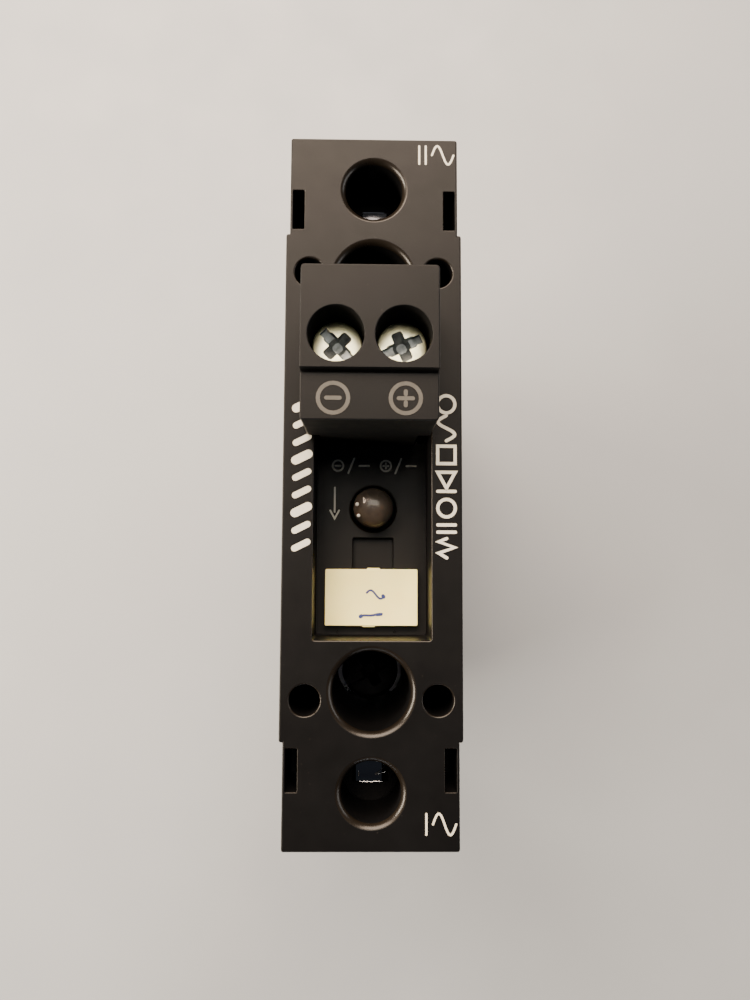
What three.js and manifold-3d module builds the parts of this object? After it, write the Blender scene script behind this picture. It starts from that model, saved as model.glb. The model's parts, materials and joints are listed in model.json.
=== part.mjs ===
// A slim solid state relay for a 35 mm mounting rail, as the assembly of its separate pieces.
// Millimetres. X runs across the width, Y along the height with the control plug at the +Y end,
// and Z from the rail to the front face. The origin is under the middle of the foot, and z = 0 is the
// plane that the foot's two hooks stand on.
import * as THREE from "three";
import { mergeVertices } from "three/addons/utils/BufferGeometryUtils.js";
import Module from "manifold-3d";

const wasm = await Module();
wasm.setup();

// ---------------------------------------------------------------- driving dimensions

const GAP = 0.3; // between pieces that touch or run on each other

// Front housing
const WIDTH = 22.5; // one module of the rail
const END_WIDTH = 21.56; // both terminal ends are slimmer
const HEIGHT = 89.6;
const BODY_HEIGHT = 63.9; // the stretch that has the full width
const FACE_Z = 98;
const HOUSING_BACK_Z = 55.3;
const CAVITY = { halfX: 9.75, halfY: 19.6, topZ: 88.4 };

// Rail foot and heat sink, from the rail forwards
const RAIL_HALF_WIDTH = 17.5; // 35 mm top-hat rail
const SEAT_Z = 5; // plane that the rail's lips press on
const SEAT_PAD = { halfY: 15.3, height: 0.2 }; // the raised face that the rail's lips press on
const LIP_SLOT = 1.3; // the rail's lips are 1 mm thick
const FOOT_TOP_Z = 11;
const FOOT_HALF_X = 10.5;
const SINK_BACK_Z = FOOT_TOP_Z + GAP;
const SINK_FRONT_Z = 55;
const SINK_LENGTH = 80;

// Terminals at both ends, by their distance from the middle
const LOAD_SCREW_Y = 25.87;
const END_HOLE_Y = 37.92;
const HOUSING_SCREW = {
  x: 8.19,
  y: 26.9,
  tipZ: 50.5,
  seatZ: 60.7,
  headTopZ: 63,
  shankRadius: 1.1,
  headRadius: 1.65,
  holeRadius: 1.4,
  tubeRadius: 1.9,
};
const LOAD_BORE = { radius: 4.85, mouthRadius: 5.5, floorZ: 75 };
const END_BORE = { radius: 3.7, mouthRadius: 4.25, belowTongue: 1.6 };
const COVER_SLOT = { x: 9.7, halfX: 0.75, y: 35.2, halfY: 2.6, depth: 9 }; // for snap-on covers
const BUSBAR = { halfX: 3.4, topZ: 66.5, thickness: 2, footY: [8, 15], footZ: 59.3 };

// Recess in the front face, with the lamp and the marker tag on its floor
const RECESS = { halfX: 7.36, halfY: 19.67, floorZ: 90 };
const LAMP = { x: 0.2, y: -2.9, radius: 2.65, shoulderZ: 91.2, holeRadius: 2.95, holeMouth: 3.33 };
const TAG = { x: 0, y: -14.7, width: 12.24, height: 7.44, topZ: 91.4 };
const TAG_FOOT = { x: 0.2, halfX: 2.3, halfY: 3.2, depth: 0.7 };
const TAG_GROOVE = { x: 0.2, halfX: 2.7, y: [-18.4, -6.8], depth: 1 };

// Control plug and its header, which share one centre line
const PLUG_X = -0.5;
const PITCH = 7.62;
const PLUG = { halfX: 7.83, lowY: 5.72, highY: 23.3, topZ: 109.6, labelTopZ: 108.6 };
const PLUG_GROOVE = { y: [11.05, 11.5], depth: 0.6 }; // between the label's step and the screws
const PLUG_SCREW = {
  y: 15.33,
  tipZ: 95.2,
  headTopZ: 104.5,
  headHeight: 2.1,
  shankRadius: 1.5,
  headRadius: 3,
  boreRadius: 3.2,
};
const PIN_Y = 12.3;
const BOARD = { backZ: 76, frontZ: 77.6 };
const HEADER = {
  halfX: 6.7,
  y: [6.5, 17.5],
  topZ: 89.8,
  cavityHalfX: 6.1,
  cavityY: [7.3, 16.7],
  floorZ: 80.2,
};
const NOSE = { halfX: 5.7, y: [7.7, 16.3], lowZ: 81 }; // of the plug, inside the header
const PLUG_WAIST = { halfX: 6.4, highY: 18.2 }; // of the plug, inside the recess

// ---------------------------------------------------------------- materials

const finish = (color, roughness, metalness = 0) =>
  new THREE.MeshStandardMaterial({ color, roughness, metalness });
const MATERIAL = {
  housing: finish(0x17161a, 0.55),
  inner: finish(0x2b2c2f, 0.6),
  sink: finish(0x1b1c1f, 0.45, 0.8),
  foot: finish(0x202124, 0.6),
  steel: finish(0xb9bcc2, 0.35, 1),
  zinc: finish(0xd9d6c4, 0.3, 1),
  tin: finish(0xc9ccd2, 0.3, 1),
  copper: finish(0xb87343, 0.35, 1),
  brass: finish(0xc9a452, 0.3, 1),
  ceramic: finish(0xe9e6df, 0.5),
  silicon: finish(0x4b4e57, 0.25, 0.3),
  board: finish(0x1f5b3a, 0.5),
  component: finish(0x151517, 0.5),
  varistor: finish(0x1f4f9a, 0.4),
  lens: finish(0x8a7560, 0.12),
  tag: finish(0xeae6cf, 0.55),
  label: finish(0xb9bbbd, 0.45),
  pad: finish(0x9a9ca3, 0.9),
};

// ---------------------------------------------------------------- solids and meshes

// A closed geometry as a manifold solid.
function solid(geometry) {
  geometry.deleteAttribute("normal");
  geometry.deleteAttribute("uv");
  const merged = mergeVertices(geometry, 1e-4);
  return new wasm.Manifold(
    new wasm.Mesh({
      numProp: 3,
      vertProperties: new Float32Array(merged.attributes.position.array),
      triVerts: new Uint32Array(merged.index.array),
    }),
  );
}

const join = (first, ...others) => others.reduce((sum, next) => sum.add(next), first);
const cut = (first, ...tools) => tools.reduce((rest, tool) => rest.subtract(tool), first);
const about = (middle, half) => [middle - half, middle + half];
const within = (half) => [-half, half];

// A box between two limits on each axis.
function block([x0, x1], [y0, y1], [z0, z1]) {
  const geometry = new THREE.BoxGeometry(x1 - x0, y1 - y0, z1 - z0);
  return solid(geometry.translate((x0 + x1) / 2, (y0 + y1) / 2, (z0 + z1) / 2));
}

// A solid of revolution about Z through (x, y), from [radius, z] points listed upwards.
function turned(points, x = 0, y = 0, segments = 32) {
  const outline = [[0, points[0][1]], ...points, [0, points[points.length - 1][1]]];
  const profile = outline.map(([radius, z]) => new THREE.Vector2(radius, z));
  return solid(new THREE.LatheGeometry(profile, segments).rotateX(Math.PI / 2).translate(x, y, 0));
}

const rod = (radius, [z0, z1], x = 0, y = 0, segments = 32) =>
  turned([[radius, z0], [radius, z1]], x, y, segments);

// A bore down from z1, with a chamfer at its mouth.
function chamferedBore(radius, mouthRadius, [z0, z1], x, y) {
  const chamferZ = z1 - (mouthRadius - radius);
  return turned([[radius, z0], [radius, chamferZ], [mouthRadius, z1], [mouthRadius, z1 + 1]], x, y);
}

// A rectangle with rounded corners, extruded along Z.
function roundedBlock([x0, x1], [y0, y1], [z0, z1], radius) {
  const shape = new THREE.Shape();
  shape.moveTo(x0 + radius, y0);
  shape.absarc(x1 - radius, y0 + radius, radius, -Math.PI / 2, 0);
  shape.absarc(x1 - radius, y1 - radius, radius, 0, Math.PI / 2);
  shape.absarc(x0 + radius, y1 - radius, radius, Math.PI / 2, Math.PI);
  shape.absarc(x0 + radius, y0 + radius, radius, Math.PI, 1.5 * Math.PI);
  const options = { depth: z1 - z0, bevelEnabled: false, curveSegments: 5 };
  return solid(new THREE.ExtrudeGeometry(shape, options).translate(0, 0, z0));
}

// An outline of [y, z] points, extruded along X between two limits.
function profileAlongX(points, [x0, x1]) {
  const shape = new THREE.Shape(points.map(([y, z]) => new THREE.Vector2(y, z)));
  const geometry = new THREE.ExtrudeGeometry(shape, { depth: x1 - x0, bevelEnabled: false });
  const turn = new THREE.Matrix4().makeBasis(
    new THREE.Vector3(0, 1, 0),
    new THREE.Vector3(0, 0, 1),
    new THREE.Vector3(1, 0, 0),
  );
  return solid(geometry.applyMatrix4(turn).translate(x0, 0, 0));
}

function mesh(name, shape, material) {
  const { numProp, vertProperties, triVerts } = shape.getMesh();
  const count = vertProperties.length / numProp;
  const position = new Float32Array(count * 3);
  for (let i = 0; i < count; i++) {
    position.set(vertProperties.subarray(i * numProp, i * numProp + 3), i * 3);
  }
  const geometry = new THREE.BufferGeometry();
  geometry.setAttribute("position", new THREE.BufferAttribute(position, 3));
  geometry.setIndex(new THREE.BufferAttribute(new Uint32Array(triVerts), 1));
  geometry.computeVertexNormals();
  const made = new THREE.Mesh(geometry, MATERIAL[material]);
  made.name = name;
  return made;
}

// The recess that a slotted or a cross-head driver turns, in a head whose top is at topZ.
function driveRecess(topZ, slotLength, slotWidth, crossLength, depth) {
  const slot = block(within(slotLength / 2), within(slotWidth / 2), [topZ - depth * 0.6, topZ + 1]);
  const arms = [0, Math.PI / 2].map((angle) => {
    const arm = new THREE.BoxGeometry(crossLength, slotWidth * 1.2, depth + 1);
    return solid(arm.rotateZ(angle).translate(0, 0, topZ + (1 - depth) / 2));
  });
  return join(slot, ...arms);
}

// ---------------------------------------------------------------- rail foot

const HOOK_LIP_Y = RAIL_HALF_WIDTH - 1.9; // how far the hooks reach under the rail
const HOOK_WALL_Y = RAIL_HALF_WIDTH + 0.2;
const HOOK_BACK_Y = 24;
const HOOK_HALF_X = 9.5;
const FOOT_Y = [-34, 36];
const SLIDE_Y = [HOOK_WALL_Y, FOOT_Y[1] + 1]; // the stretch of the foot that the latch runs in
const LATCH = {
  y: [18.2, 44.5],
  wide: { halfX: 7.5, z: [6.6, 7.9] },
  narrow: { halfX: 5.5, z: [4.2, 7] },
  driverSlot: { halfX: 3, y: [40, 42.4] },
};
const WINDOW = { halfX: 2.9, lowY: 23, highY: 37.5 }; // in the latch, for the spring
const SPRING = { turns: 7, coilRadius: 1.65, wireRadius: 0.3, z: 7, roomHalfX: 2.4, roofZ: 9.4 };
const POST_Y = [33, 35];
const FOOT_SCREW_YS = [-28, 8];
const FOOT_SCREW = {
  shankRadius: 1.6,
  headRadius: 3.3,
  lowZ: 5.2,
  headZ: 7.3,
  tipZ: SINK_BACK_Z + 7,
  slotHalf: 0.45,
};
const FOOT_SCREW_HOLE = { radius: 1.9, sinkDepth: 8, seatRadius: 3.7, seatZ: 7.6 };

// The side view of a hook, mirrored for the one at the -Y side.
function hookProfile(side, topZ) {
  const points = [
    [HOOK_BACK_Y, 0],
    [HOOK_BACK_Y, topZ],
    [HOOK_WALL_Y, topZ],
    [HOOK_WALL_Y, SEAT_Z - LIP_SLOT],
    [HOOK_LIP_Y, SEAT_Z - LIP_SLOT],
    [HOOK_LIP_Y, 2.6],
    [HOOK_LIP_Y + 2.2, 0],
  ];
  return points.map(([y, z]) => [side * y, z]);
}

function railFoot() {
  const plate = block(within(FOOT_HALF_X), FOOT_Y, [SEAT_Z + SEAT_PAD.height, FOOT_TOP_Z]);
  const pad = block(within(FOOT_HALF_X), within(SEAT_PAD.halfY), [SEAT_Z, SEAT_Z + 1]);
  const hook = profileAlongX(hookProfile(-1, SEAT_Z + 1), within(HOOK_HALF_X));
  const { wide, narrow } = LATCH;
  const wideZ = [wide.z[0] - GAP, wide.z[1] + GAP];
  const slotWide = block(within(wide.halfX + GAP), SLIDE_Y, wideZ);
  const slotNarrow = block(within(narrow.halfX + GAP), SLIDE_Y, [SEAT_Z - 1, narrow.z[1]]);
  const springRoom = [SPRING.z, SPRING.roofZ];
  const springRoof = block(within(SPRING.roomHalfX), [WINDOW.lowY, POST_Y[0]], springRoom);
  const post = block(within(SPRING.roomHalfX), POST_Y, [SEAT_Z + SEAT_PAD.height, SPRING.z + 2]);
  const screwHoles = FOOT_SCREW_YS.map((y) =>
    join(
      rod(FOOT_SCREW_HOLE.seatRadius, [SEAT_Z - 1, FOOT_SCREW_HOLE.seatZ], 0, y),
      rod(FOOT_SCREW_HOLE.radius, [SEAT_Z, FOOT_TOP_Z + 1], 0, y),
    ),
  );
  const hollowed = cut(join(plate, pad, hook), slotWide, slotNarrow, springRoof, ...screwHoles);
  return mesh("rail_foot", join(hollowed, post), "foot");
}

function railLatch() {
  const wide = block(within(LATCH.wide.halfX), LATCH.y, LATCH.wide.z);
  const narrow = block(within(LATCH.narrow.halfX), LATCH.y, LATCH.narrow.z);
  const hook = profileAlongX(hookProfile(1, SEAT_Z - GAP), within(HOOK_HALF_X));
  const throughZ = [LATCH.narrow.z[0] - 0.2, LATCH.wide.z[1] + 0.6];
  const window = block(within(WINDOW.halfX), [WINDOW.lowY, WINDOW.highY], throughZ);
  const driverSlot = block(within(LATCH.driverSlot.halfX), LATCH.driverSlot.y, throughZ);
  return mesh("rail_latch", cut(join(wide, narrow, hook), window, driverSlot), "inner");
}

// A round wire coiled about the Y axis, between the latch and the foot's post.
function latchSpring() {
  const { turns, coilRadius, wireRadius, z } = SPRING;
  const [y0, y1] = [WINDOW.lowY + GAP + wireRadius, POST_Y[0] - GAP - wireRadius];
  class Helix extends THREE.Curve {
    getPoint(t, target = new THREE.Vector3()) {
      const angle = 2 * Math.PI * turns * t;
      const y = y0 + (y1 - y0) * t;
      return target.set(coilRadius * Math.cos(angle), y, z + coilRadius * Math.sin(angle));
    }
  }
  const section = new THREE.Shape();
  section.absarc(0, 0, wireRadius, 0, 2 * Math.PI);
  const options = {
    steps: turns * 12,
    extrudePath: new Helix(),
    bevelEnabled: false,
    curveSegments: 3,
  };
  return mesh("latch_spring", solid(new THREE.ExtrudeGeometry(section, options)), "steel");
}

function footScrew(index, y) {
  const { shankRadius, headRadius, lowZ, headZ, tipZ, slotHalf } = FOOT_SCREW;
  const profile = [
    [headRadius - 0.6, lowZ],
    [headRadius, lowZ + 0.5],
    [headRadius, headZ],
    [shankRadius, headZ],
    [shankRadius, tipZ],
  ];
  const screw = turned(profile, 0, y, 24);
  const slot = block(within(headRadius + 0.7), about(y, slotHalf), [lowZ - 1, lowZ + 0.9]);
  return mesh(`foot_screw_${index}`, cut(screw, slot), "steel");
}

// ---------------------------------------------------------------- heat sink

const SPINE_HALF_X = 3;
const FINS = { count: 7, thickness: 1.3, halfX: 10.9 };
const WEB = { halfX: 10, thickness: 4 };
const FLANGE = { halfX: 11, thickness: 6 };

function heatSink() {
  const length = within(SINK_LENGTH / 2);
  const webTop = SINK_BACK_Z + WEB.thickness;
  const flangeBack = SINK_FRONT_Z - FLANGE.thickness;
  const spacing = (flangeBack - webTop - FINS.count * FINS.thickness) / (FINS.count + 1);
  const fins = Array.from({ length: FINS.count }, (_, i) => {
    const z = webTop + spacing + i * (spacing + FINS.thickness);
    return block(within(FINS.halfX), length, [z, z + FINS.thickness]);
  });
  const footScrewHoles = FOOT_SCREW_YS.map((y) =>
    rod(FOOT_SCREW_HOLE.radius, [SINK_BACK_Z - 1, SINK_BACK_Z + FOOT_SCREW_HOLE.sinkDepth], 0, y, 24),
  );
  const housingScrewHoles = eachHousingScrew((x, y) =>
    rod(HOUSING_SCREW.holeRadius, [HOUSING_SCREW.tipZ - GAP, SINK_FRONT_Z + 1], x, y, 16),
  );
  const body = join(
    block(within(WEB.halfX), length, [SINK_BACK_Z, webTop]),
    block(within(SPINE_HALF_X), length, [webTop - 1, flangeBack + 1]),
    block(within(FLANGE.halfX), length, [flangeBack, SINK_FRONT_Z]),
    ...fins,
  );
  return mesh("heat_sink", cut(body, ...footScrewHoles, ...housingScrewHoles), "sink");
}

// Calls make with the place of each of the four screws that hold the housing.
function eachHousingScrew(make) {
  const corners = [[-1, -1], [1, -1], [-1, 1], [1, 1]];
  return corners.map(([sx, sy], i) => make(sx * HOUSING_SCREW.x, sy * HOUSING_SCREW.y, i + 1));
}

// ---------------------------------------------------------------- housing

const TRAY = { halfX: 9.5, halfY: 43.4, topZ: 57.3, windowHalfX: 8.3, windowHalfY: 15.9 };
const WIRE_CHANNEL = { halfX: 3.7, lowZ: 58.9, highZ: 64.8 };
const FUNNEL = { mouthRadius: 6.3, radius: 4.9, length: 1.6 }; // corner radii of the wire's lead-in
const CAGE = { halfX: 5, halfY: 4.4, lowZ: 57.6, highZ: 71, wall: 1.2, floor: 1.5, roof: 2.4 };
const CAGE_ROOM = 0.4;
const SCREW_HEAD = { radius: 4.1, lowZ: 76.2, topZ: 79 };
const SCREW_SHANK = { radius: 2.5, tipRadius: 2.1, threadHole: 2.8 }; // M5
const TONGUE = { x: 0.2, halfX: 1.8, legY: 31.4, thickness: 1.2, endY: 38.75, highZ: 90 };
const TONGUE_ROOM = { halfX: 2.4, lowZ: 60 };
const LABEL = { halfY: 27, lowZ: 61, highZ: 93, pocketDepth: 0.55 };

// What is cut from one end of the housing. side is 1 at the +Y end and -1 at the -Y end.
function terminalCuts(side) {
  const along = (y0, y1) => [side * y0, side * y1].sort((a, b) => a - b);
  const endY = HEIGHT / 2;
  const { mouthRadius, radius, length } = FUNNEL;
  const funnel = new THREE.CylinderGeometry(mouthRadius, radius, length, 4, 1).rotateY(Math.PI / 4);
  if (side < 0) funnel.rotateX(Math.PI);
  const channelMiddleZ = (WIRE_CHANNEL.lowZ + WIRE_CHANNEL.highZ) / 2;
  return [
    chamferedBore(
      LOAD_BORE.radius,
      LOAD_BORE.mouthRadius,
      [LOAD_BORE.floorZ, FACE_Z],
      0,
      side * LOAD_SCREW_Y,
    ),
    chamferedBore(
      END_BORE.radius,
      END_BORE.mouthRadius,
      [TONGUE.highZ - END_BORE.belowTongue, FACE_Z],
      0,
      side * END_HOLE_Y,
    ),
    block(
      within(CAGE.halfX + CAGE_ROOM),
      along(LOAD_SCREW_Y - CAGE.halfY - CAGE_ROOM, LOAD_SCREW_Y + CAGE.halfY + CAGE_ROOM),
      [HOUSING_BACK_Z - 1, SCREW_HEAD.lowZ - 0.2],
    ),
    block(
      within(BUSBAR.halfX + 0.6),
      along(CAVITY.halfY - 1, LOAD_SCREW_Y),
      [HOUSING_BACK_Z - 1, BUSBAR.topZ + 0.4],
    ),
    block(
      within(WIRE_CHANNEL.halfX),
      along(LOAD_SCREW_Y, endY + 1),
      [WIRE_CHANNEL.lowZ, WIRE_CHANNEL.highZ],
    ),
    solid(funnel.translate(0, side * (endY - 0.6), channelMiddleZ)),
    block(
      within(TONGUE_ROOM.halfX),
      along(LOAD_SCREW_Y, TONGUE.endY),
      [TONGUE_ROOM.lowZ, BUSBAR.topZ + 1],
    ),
    block(
      within(TONGUE_ROOM.halfX),
      along(TONGUE.legY - GAP, TONGUE.endY + 0.4),
      [TONGUE_ROOM.lowZ, TONGUE.highZ + 0.4],
    ),
  ];
}

// Narrow slots for snap-on covers, one beside each end hole on both sides.
function coverSlots() {
  const { x, halfX, y, halfY, depth } = COVER_SLOT;
  const slots = [];
  for (const sx of [-1, 1]) {
    for (const sy of [-1, 1]) {
      slots.push(block(about(sx * x, halfX), about(sy * y, halfY), [FACE_Z - depth, FACE_Z + 1]));
    }
  }
  return slots;
}

function frontHousing() {
  const z = [HOUSING_BACK_Z, FACE_Z];
  const shell = join(
    block(within(WIDTH / 2), within(BODY_HEIGHT / 2), z),
    block(within(END_WIDTH / 2), within(HEIGHT / 2), z),
  );
  const { seatZ, tubeRadius, holeRadius } = HOUSING_SCREW;
  const screwTubes = eachHousingScrew((x, y) =>
    join(
      rod(tubeRadius, [seatZ, FACE_Z + 1], x, y, 24),
      rod(holeRadius, [HOUSING_BACK_Z - 1, seatZ + GAP], x, y, 16),
    ),
  );
  const recess = block(within(RECESS.halfX), within(RECESS.halfY), [RECESS.floorZ, FACE_Z + 1]);
  const belowFloor = [CAVITY.topZ - 1, RECESS.floorZ];
  const headerWell = block(
    within(RECESS.halfX - 0.1),
    [HEADER.y[0] - GAP, HEADER.y[1] + GAP],
    [CAVITY.topZ - 1, RECESS.floorZ + 1],
  );
  const lampHole = chamferedBore(LAMP.holeRadius, LAMP.holeMouth, belowFloor, LAMP.x, LAMP.y);
  const tagGroove = block(
    about(TAG_GROOVE.x, TAG_GROOVE.halfX),
    TAG_GROOVE.y,
    [RECESS.floorZ - TAG_GROOVE.depth, RECESS.floorZ + 1],
  );
  const cavity = block(within(CAVITY.halfX), within(CAVITY.halfY), [HOUSING_BACK_Z - 1, CAVITY.topZ]);
  const trayPocket = block(
    within(TRAY.halfX + GAP),
    within(TRAY.halfY + GAP),
    [HOUSING_BACK_Z - 1, TRAY.topZ + GAP],
  );
  const labelPocket = block(
    [WIDTH / 2 - LABEL.pocketDepth, WIDTH / 2 + 1],
    within(LABEL.halfY),
    [LABEL.lowZ, LABEL.highZ],
  );
  const made = cut(
    shell,
    ...screwTubes,
    recess,
    headerWell,
    lampHole,
    tagGroove,
    cavity,
    trayPocket,
    labelPocket,
    ...coverSlots(),
    ...terminalCuts(1),
    ...terminalCuts(-1),
  );
  return mesh("front_housing", made, "housing");
}

function sideLabel() {
  const x = [WIDTH / 2 - LABEL.pocketDepth + 0.25, WIDTH / 2 - 0.1];
  const z = [LABEL.lowZ + 0.4, LABEL.highZ - 0.4];
  return mesh("side_label", block(x, within(LABEL.halfY - 0.4), z), "label");
}

function insulatingTray() {
  const plate = block(within(TRAY.halfX), within(TRAY.halfY), [HOUSING_BACK_Z, TRAY.topZ]);
  const throughZ = [HOUSING_BACK_Z - 1, TRAY.topZ + 1];
  const window = block(within(TRAY.windowHalfX), within(TRAY.windowHalfY), throughZ);
  const screwHoles = eachHousingScrew((x, y) =>
    rod(HOUSING_SCREW.holeRadius, throughZ, x, y, 16),
  );
  return mesh("insulating_tray", cut(plate, window, ...screwHoles), "inner");
}

function housingScrews() {
  const { tipZ, seatZ, headTopZ, shankRadius, headRadius } = HOUSING_SCREW;
  const profile = [
    [0.5, tipZ],
    [shankRadius, tipZ + 1],
    [shankRadius, seatZ + GAP],
    [headRadius, seatZ + GAP],
    [headRadius, headTopZ - 0.4],
    [headRadius - 0.45, headTopZ],
  ];
  return eachHousingScrew((x, y, index) => {
    const screw = cut(turned(profile, 0, 0, 16), driveRecess(headTopZ, 1.2, 0.45, 1.9, 0.9));
    const made = mesh(`housing_screw_${index}`, screw, "steel");
    made.position.set(x, y, 0);
    return made;
  });
}

// ---------------------------------------------------------------- power module

// The stack's layers, from the heat sink forwards, with a gap of GAP between them.
const MODULE = { halfX: 8, halfY: 15.6 };
const PAD_Z = [55.3, 55.7];
const BASE_Z = [56, 58];
const CERAMIC = { halfX: 7.6, halfY: 15, z: [58.3, 59] };
const CHIP = { half: 3, z: [59.3, 59.8] };
const CHIP_PLACES = [[-3.7, 3.6], [3.7, -3.6]];
const GATE_PIN = { radius: 0.4, z: [59.3, 79] };
const GATE_PIN_PLACES = [[6.475, 3.6], [-6.475, -3.6]];

function powerModule() {
  const stack = new THREE.Group();
  const base = roundedBlock(within(MODULE.halfX), within(MODULE.halfY), BASE_Z, 0.8);
  const substrate = block(within(CERAMIC.halfX), within(CERAMIC.halfY), CERAMIC.z);
  stack.add(mesh("thermal_pad", block(within(MODULE.halfX), within(MODULE.halfY), PAD_Z), "pad"));
  stack.add(mesh("base_plate", base, "copper"));
  stack.add(mesh("ceramic_substrate", substrate, "ceramic"));
  CHIP_PLACES.forEach(([x, y], i) => {
    const chip = block(about(x, CHIP.half), about(y, CHIP.half), CHIP.z);
    stack.add(mesh(`scr_chip_${i + 1}`, chip, "silicon"));
  });
  GATE_PIN_PLACES.forEach(([x, y], i) => {
    stack.add(mesh(`gate_pin_${i + 1}`, rod(GATE_PIN.radius, GATE_PIN.z, x, y, 10), "tin"));
  });
  return stack;
}

// One load terminal in its own frame, with +Y outwards.
function loadTerminal(index, turn) {
  const terminal = new THREE.Group();
  const { legY, thickness, endY, highZ } = TONGUE;
  const { footY, footZ } = BUSBAR;
  const barLowZ = BUSBAR.topZ - BUSBAR.thickness;
  const bar = profileAlongX(
    [
      [footY[0], footZ],
      [footY[1], footZ],
      [footY[1], barLowZ],
      [legY + thickness, barLowZ],
      [legY + thickness, highZ - thickness],
      [endY, highZ - thickness],
      [endY, highZ],
      [legY, highZ],
      [legY, BUSBAR.topZ],
      [footY[1] - BUSBAR.thickness, BUSBAR.topZ],
      [footY[1] - BUSBAR.thickness, footZ + BUSBAR.thickness],
      [footY[0], footZ + BUSBAR.thickness],
    ],
    within(BUSBAR.halfX),
  );
  const sideY = [LOAD_SCREW_Y + CAGE.halfY + 0.08, endY + 1];
  const tongueSides = [
    block([-BUSBAR.halfX - 0.6, TONGUE.x - TONGUE.halfX], sideY, [TONGUE_ROOM.lowZ, highZ + 2]),
    block([TONGUE.x + TONGUE.halfX, BUSBAR.halfX + 0.6], sideY, [TONGUE_ROOM.lowZ, highZ + 2]),
  ];
  terminal.add(mesh(`load_busbar_${index}`, cut(bar, ...tongueSides), "tin"));

  const y = LOAD_SCREW_Y;
  const cageBody = block(within(CAGE.halfX), about(y, CAGE.halfY), [CAGE.lowZ, CAGE.highZ]);
  const openingZ = [CAGE.lowZ + CAGE.floor, CAGE.highZ - CAGE.roof];
  const opening = block(within(CAGE.halfX - CAGE.wall), about(y, CAGE.halfY + 1.6), openingZ);
  const thread = rod(SCREW_SHANK.threadHole, [CAGE.highZ - 3, CAGE.highZ + 1], 0, y, 24);
  terminal.add(mesh(`load_cage_${index}`, cut(cageBody, opening, thread), "steel"));

  const { radius, lowZ, topZ } = SCREW_HEAD;
  const screw = turned([
    [SCREW_SHANK.tipRadius, BUSBAR.topZ + GAP],
    [SCREW_SHANK.radius, BUSBAR.topZ + 0.8],
    [SCREW_SHANK.radius, lowZ],
    [radius, lowZ],
    [radius, topZ - 0.7],
    [radius - 0.7, topZ],
  ]);
  const head = mesh(`load_screw_${index}`, cut(screw, driveRecess(topZ, 7, 1.2, 4.6, 2)), "zinc");
  head.position.set(0, y, 0);
  terminal.add(head);
  terminal.rotation.z = turn;
  return terminal;
}

// ---------------------------------------------------------------- control side

const CONTACT_XS = [PLUG_X - PITCH / 2, PLUG_X + PITCH / 2];
const BOX_CONTACT = { halfX: 1.6, y: [PIN_Y - 1.6, PIN_Y + 1.6], z: [82, 90], wall: 0.8 };
const CONTACT_TONGUE = { halfX: 2.6, beyondScrew: 2.4, z: [101.3, 102.1] };
const YOKE = { halfX: 2.6, halfY: 2.4, z: [95.6, 97.6], ridgeY: 2.1, ridgeTopZ: 97.9 };
const SCREW_THREAD_HOLE = 1.8; // radius of the M3 holes in the yoke and in the contact's tongue
const POLE_ROOM = { halfX: 2.95, halfY: 2.9, z: [94.8, 102.4], wireHalfX: 2.5, wireLowZ: 99 };
const BOARD_HALF = { x: 9.3, y: 18.9 };
const COUPLER = { x: -4.6, halfX: 3.2, y: -11.8, halfY: 4.4, height: 3.4 };
const RESISTOR = { x: 6.2, halfX: 1.3, y: -4.2, halfY: 2.6, height: 1.1 };
const VARISTOR = { x: 4.6, y: -13.2, radius: 4.2, halfThickness: 1.8 };
const STATUS_LED = { halfX: 1.6, halfY: 1.4, height: 1.3 };
const HEADER_PIN = { half: 0.5, holeHalf: 0.8, z: [74.8, 88.6] };

function controlBoard() {
  const board = block(within(BOARD_HALF.x), within(BOARD_HALF.y), [BOARD.backZ, BOARD.frontZ]);
  const z = [BOARD.backZ - 1, BOARD.frontZ + 1];
  const pinHoles = CONTACT_XS.map((x) => rod(1.05, z, x, PIN_Y, 12));
  const gateHoles = GATE_PIN_PLACES.map(([x, y]) => rod(0.75, z, x, y, 10));
  return mesh("control_board", cut(board, ...pinHoles, ...gateHoles), "board");
}

function boardComponents() {
  const z0 = BOARD.frontZ + GAP;
  const parts = new THREE.Group();
  const spans = ({ x, halfX, y, halfY, height }) => [
    about(x, halfX),
    about(y, halfY),
    [z0, z0 + height],
  ];
  const lamp = { x: LAMP.x, y: LAMP.y, ...STATUS_LED };
  const { radius, halfThickness } = VARISTOR;
  const disc = rod(radius, within(halfThickness), 0, 0, 24)
    .rotate([0, 90, 0])
    .translate([VARISTOR.x, VARISTOR.y, z0 + radius]);
  parts.add(mesh("optocoupler", roundedBlock(...spans(COUPLER), 0.3), "component"));
  parts.add(mesh("input_resistor", block(...spans(RESISTOR)), "component"));
  parts.add(mesh("varistor", disc, "varistor"));
  parts.add(mesh("status_led", block(...spans(lamp)), "tag"));
  return parts;
}

// A clear rod that carries the lamp's light up to a dome in the recess.
function ledLens() {
  const { x, y, radius, shoulderZ } = LAMP;
  const dome = Array.from({ length: 7 }, (_, i) => {
    const angle = (i / 7) * (Math.PI / 2);
    return [radius * Math.cos(angle), shoulderZ + radius * Math.sin(angle)];
  });
  const profile = [[radius, BOARD.frontZ + 2], ...dome, [0.02, shoulderZ + radius]];
  return mesh("led_lens", turned(profile, x, y, 28), "lens");
}

function markerTag() {
  const plateZ = [RECESS.floorZ + GAP, TAG.topZ];
  const plate = roundedBlock(about(TAG.x, TAG.width / 2), about(TAG.y, TAG.height / 2), plateZ, 0.2);
  const foot = block(
    about(TAG_FOOT.x, TAG_FOOT.halfX),
    about(TAG.y, TAG_FOOT.halfY),
    [RECESS.floorZ - TAG_FOOT.depth, RECESS.floorZ + 2 * GAP],
  );
  return mesh("marker_tag", join(plate, foot), "tag");
}

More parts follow.
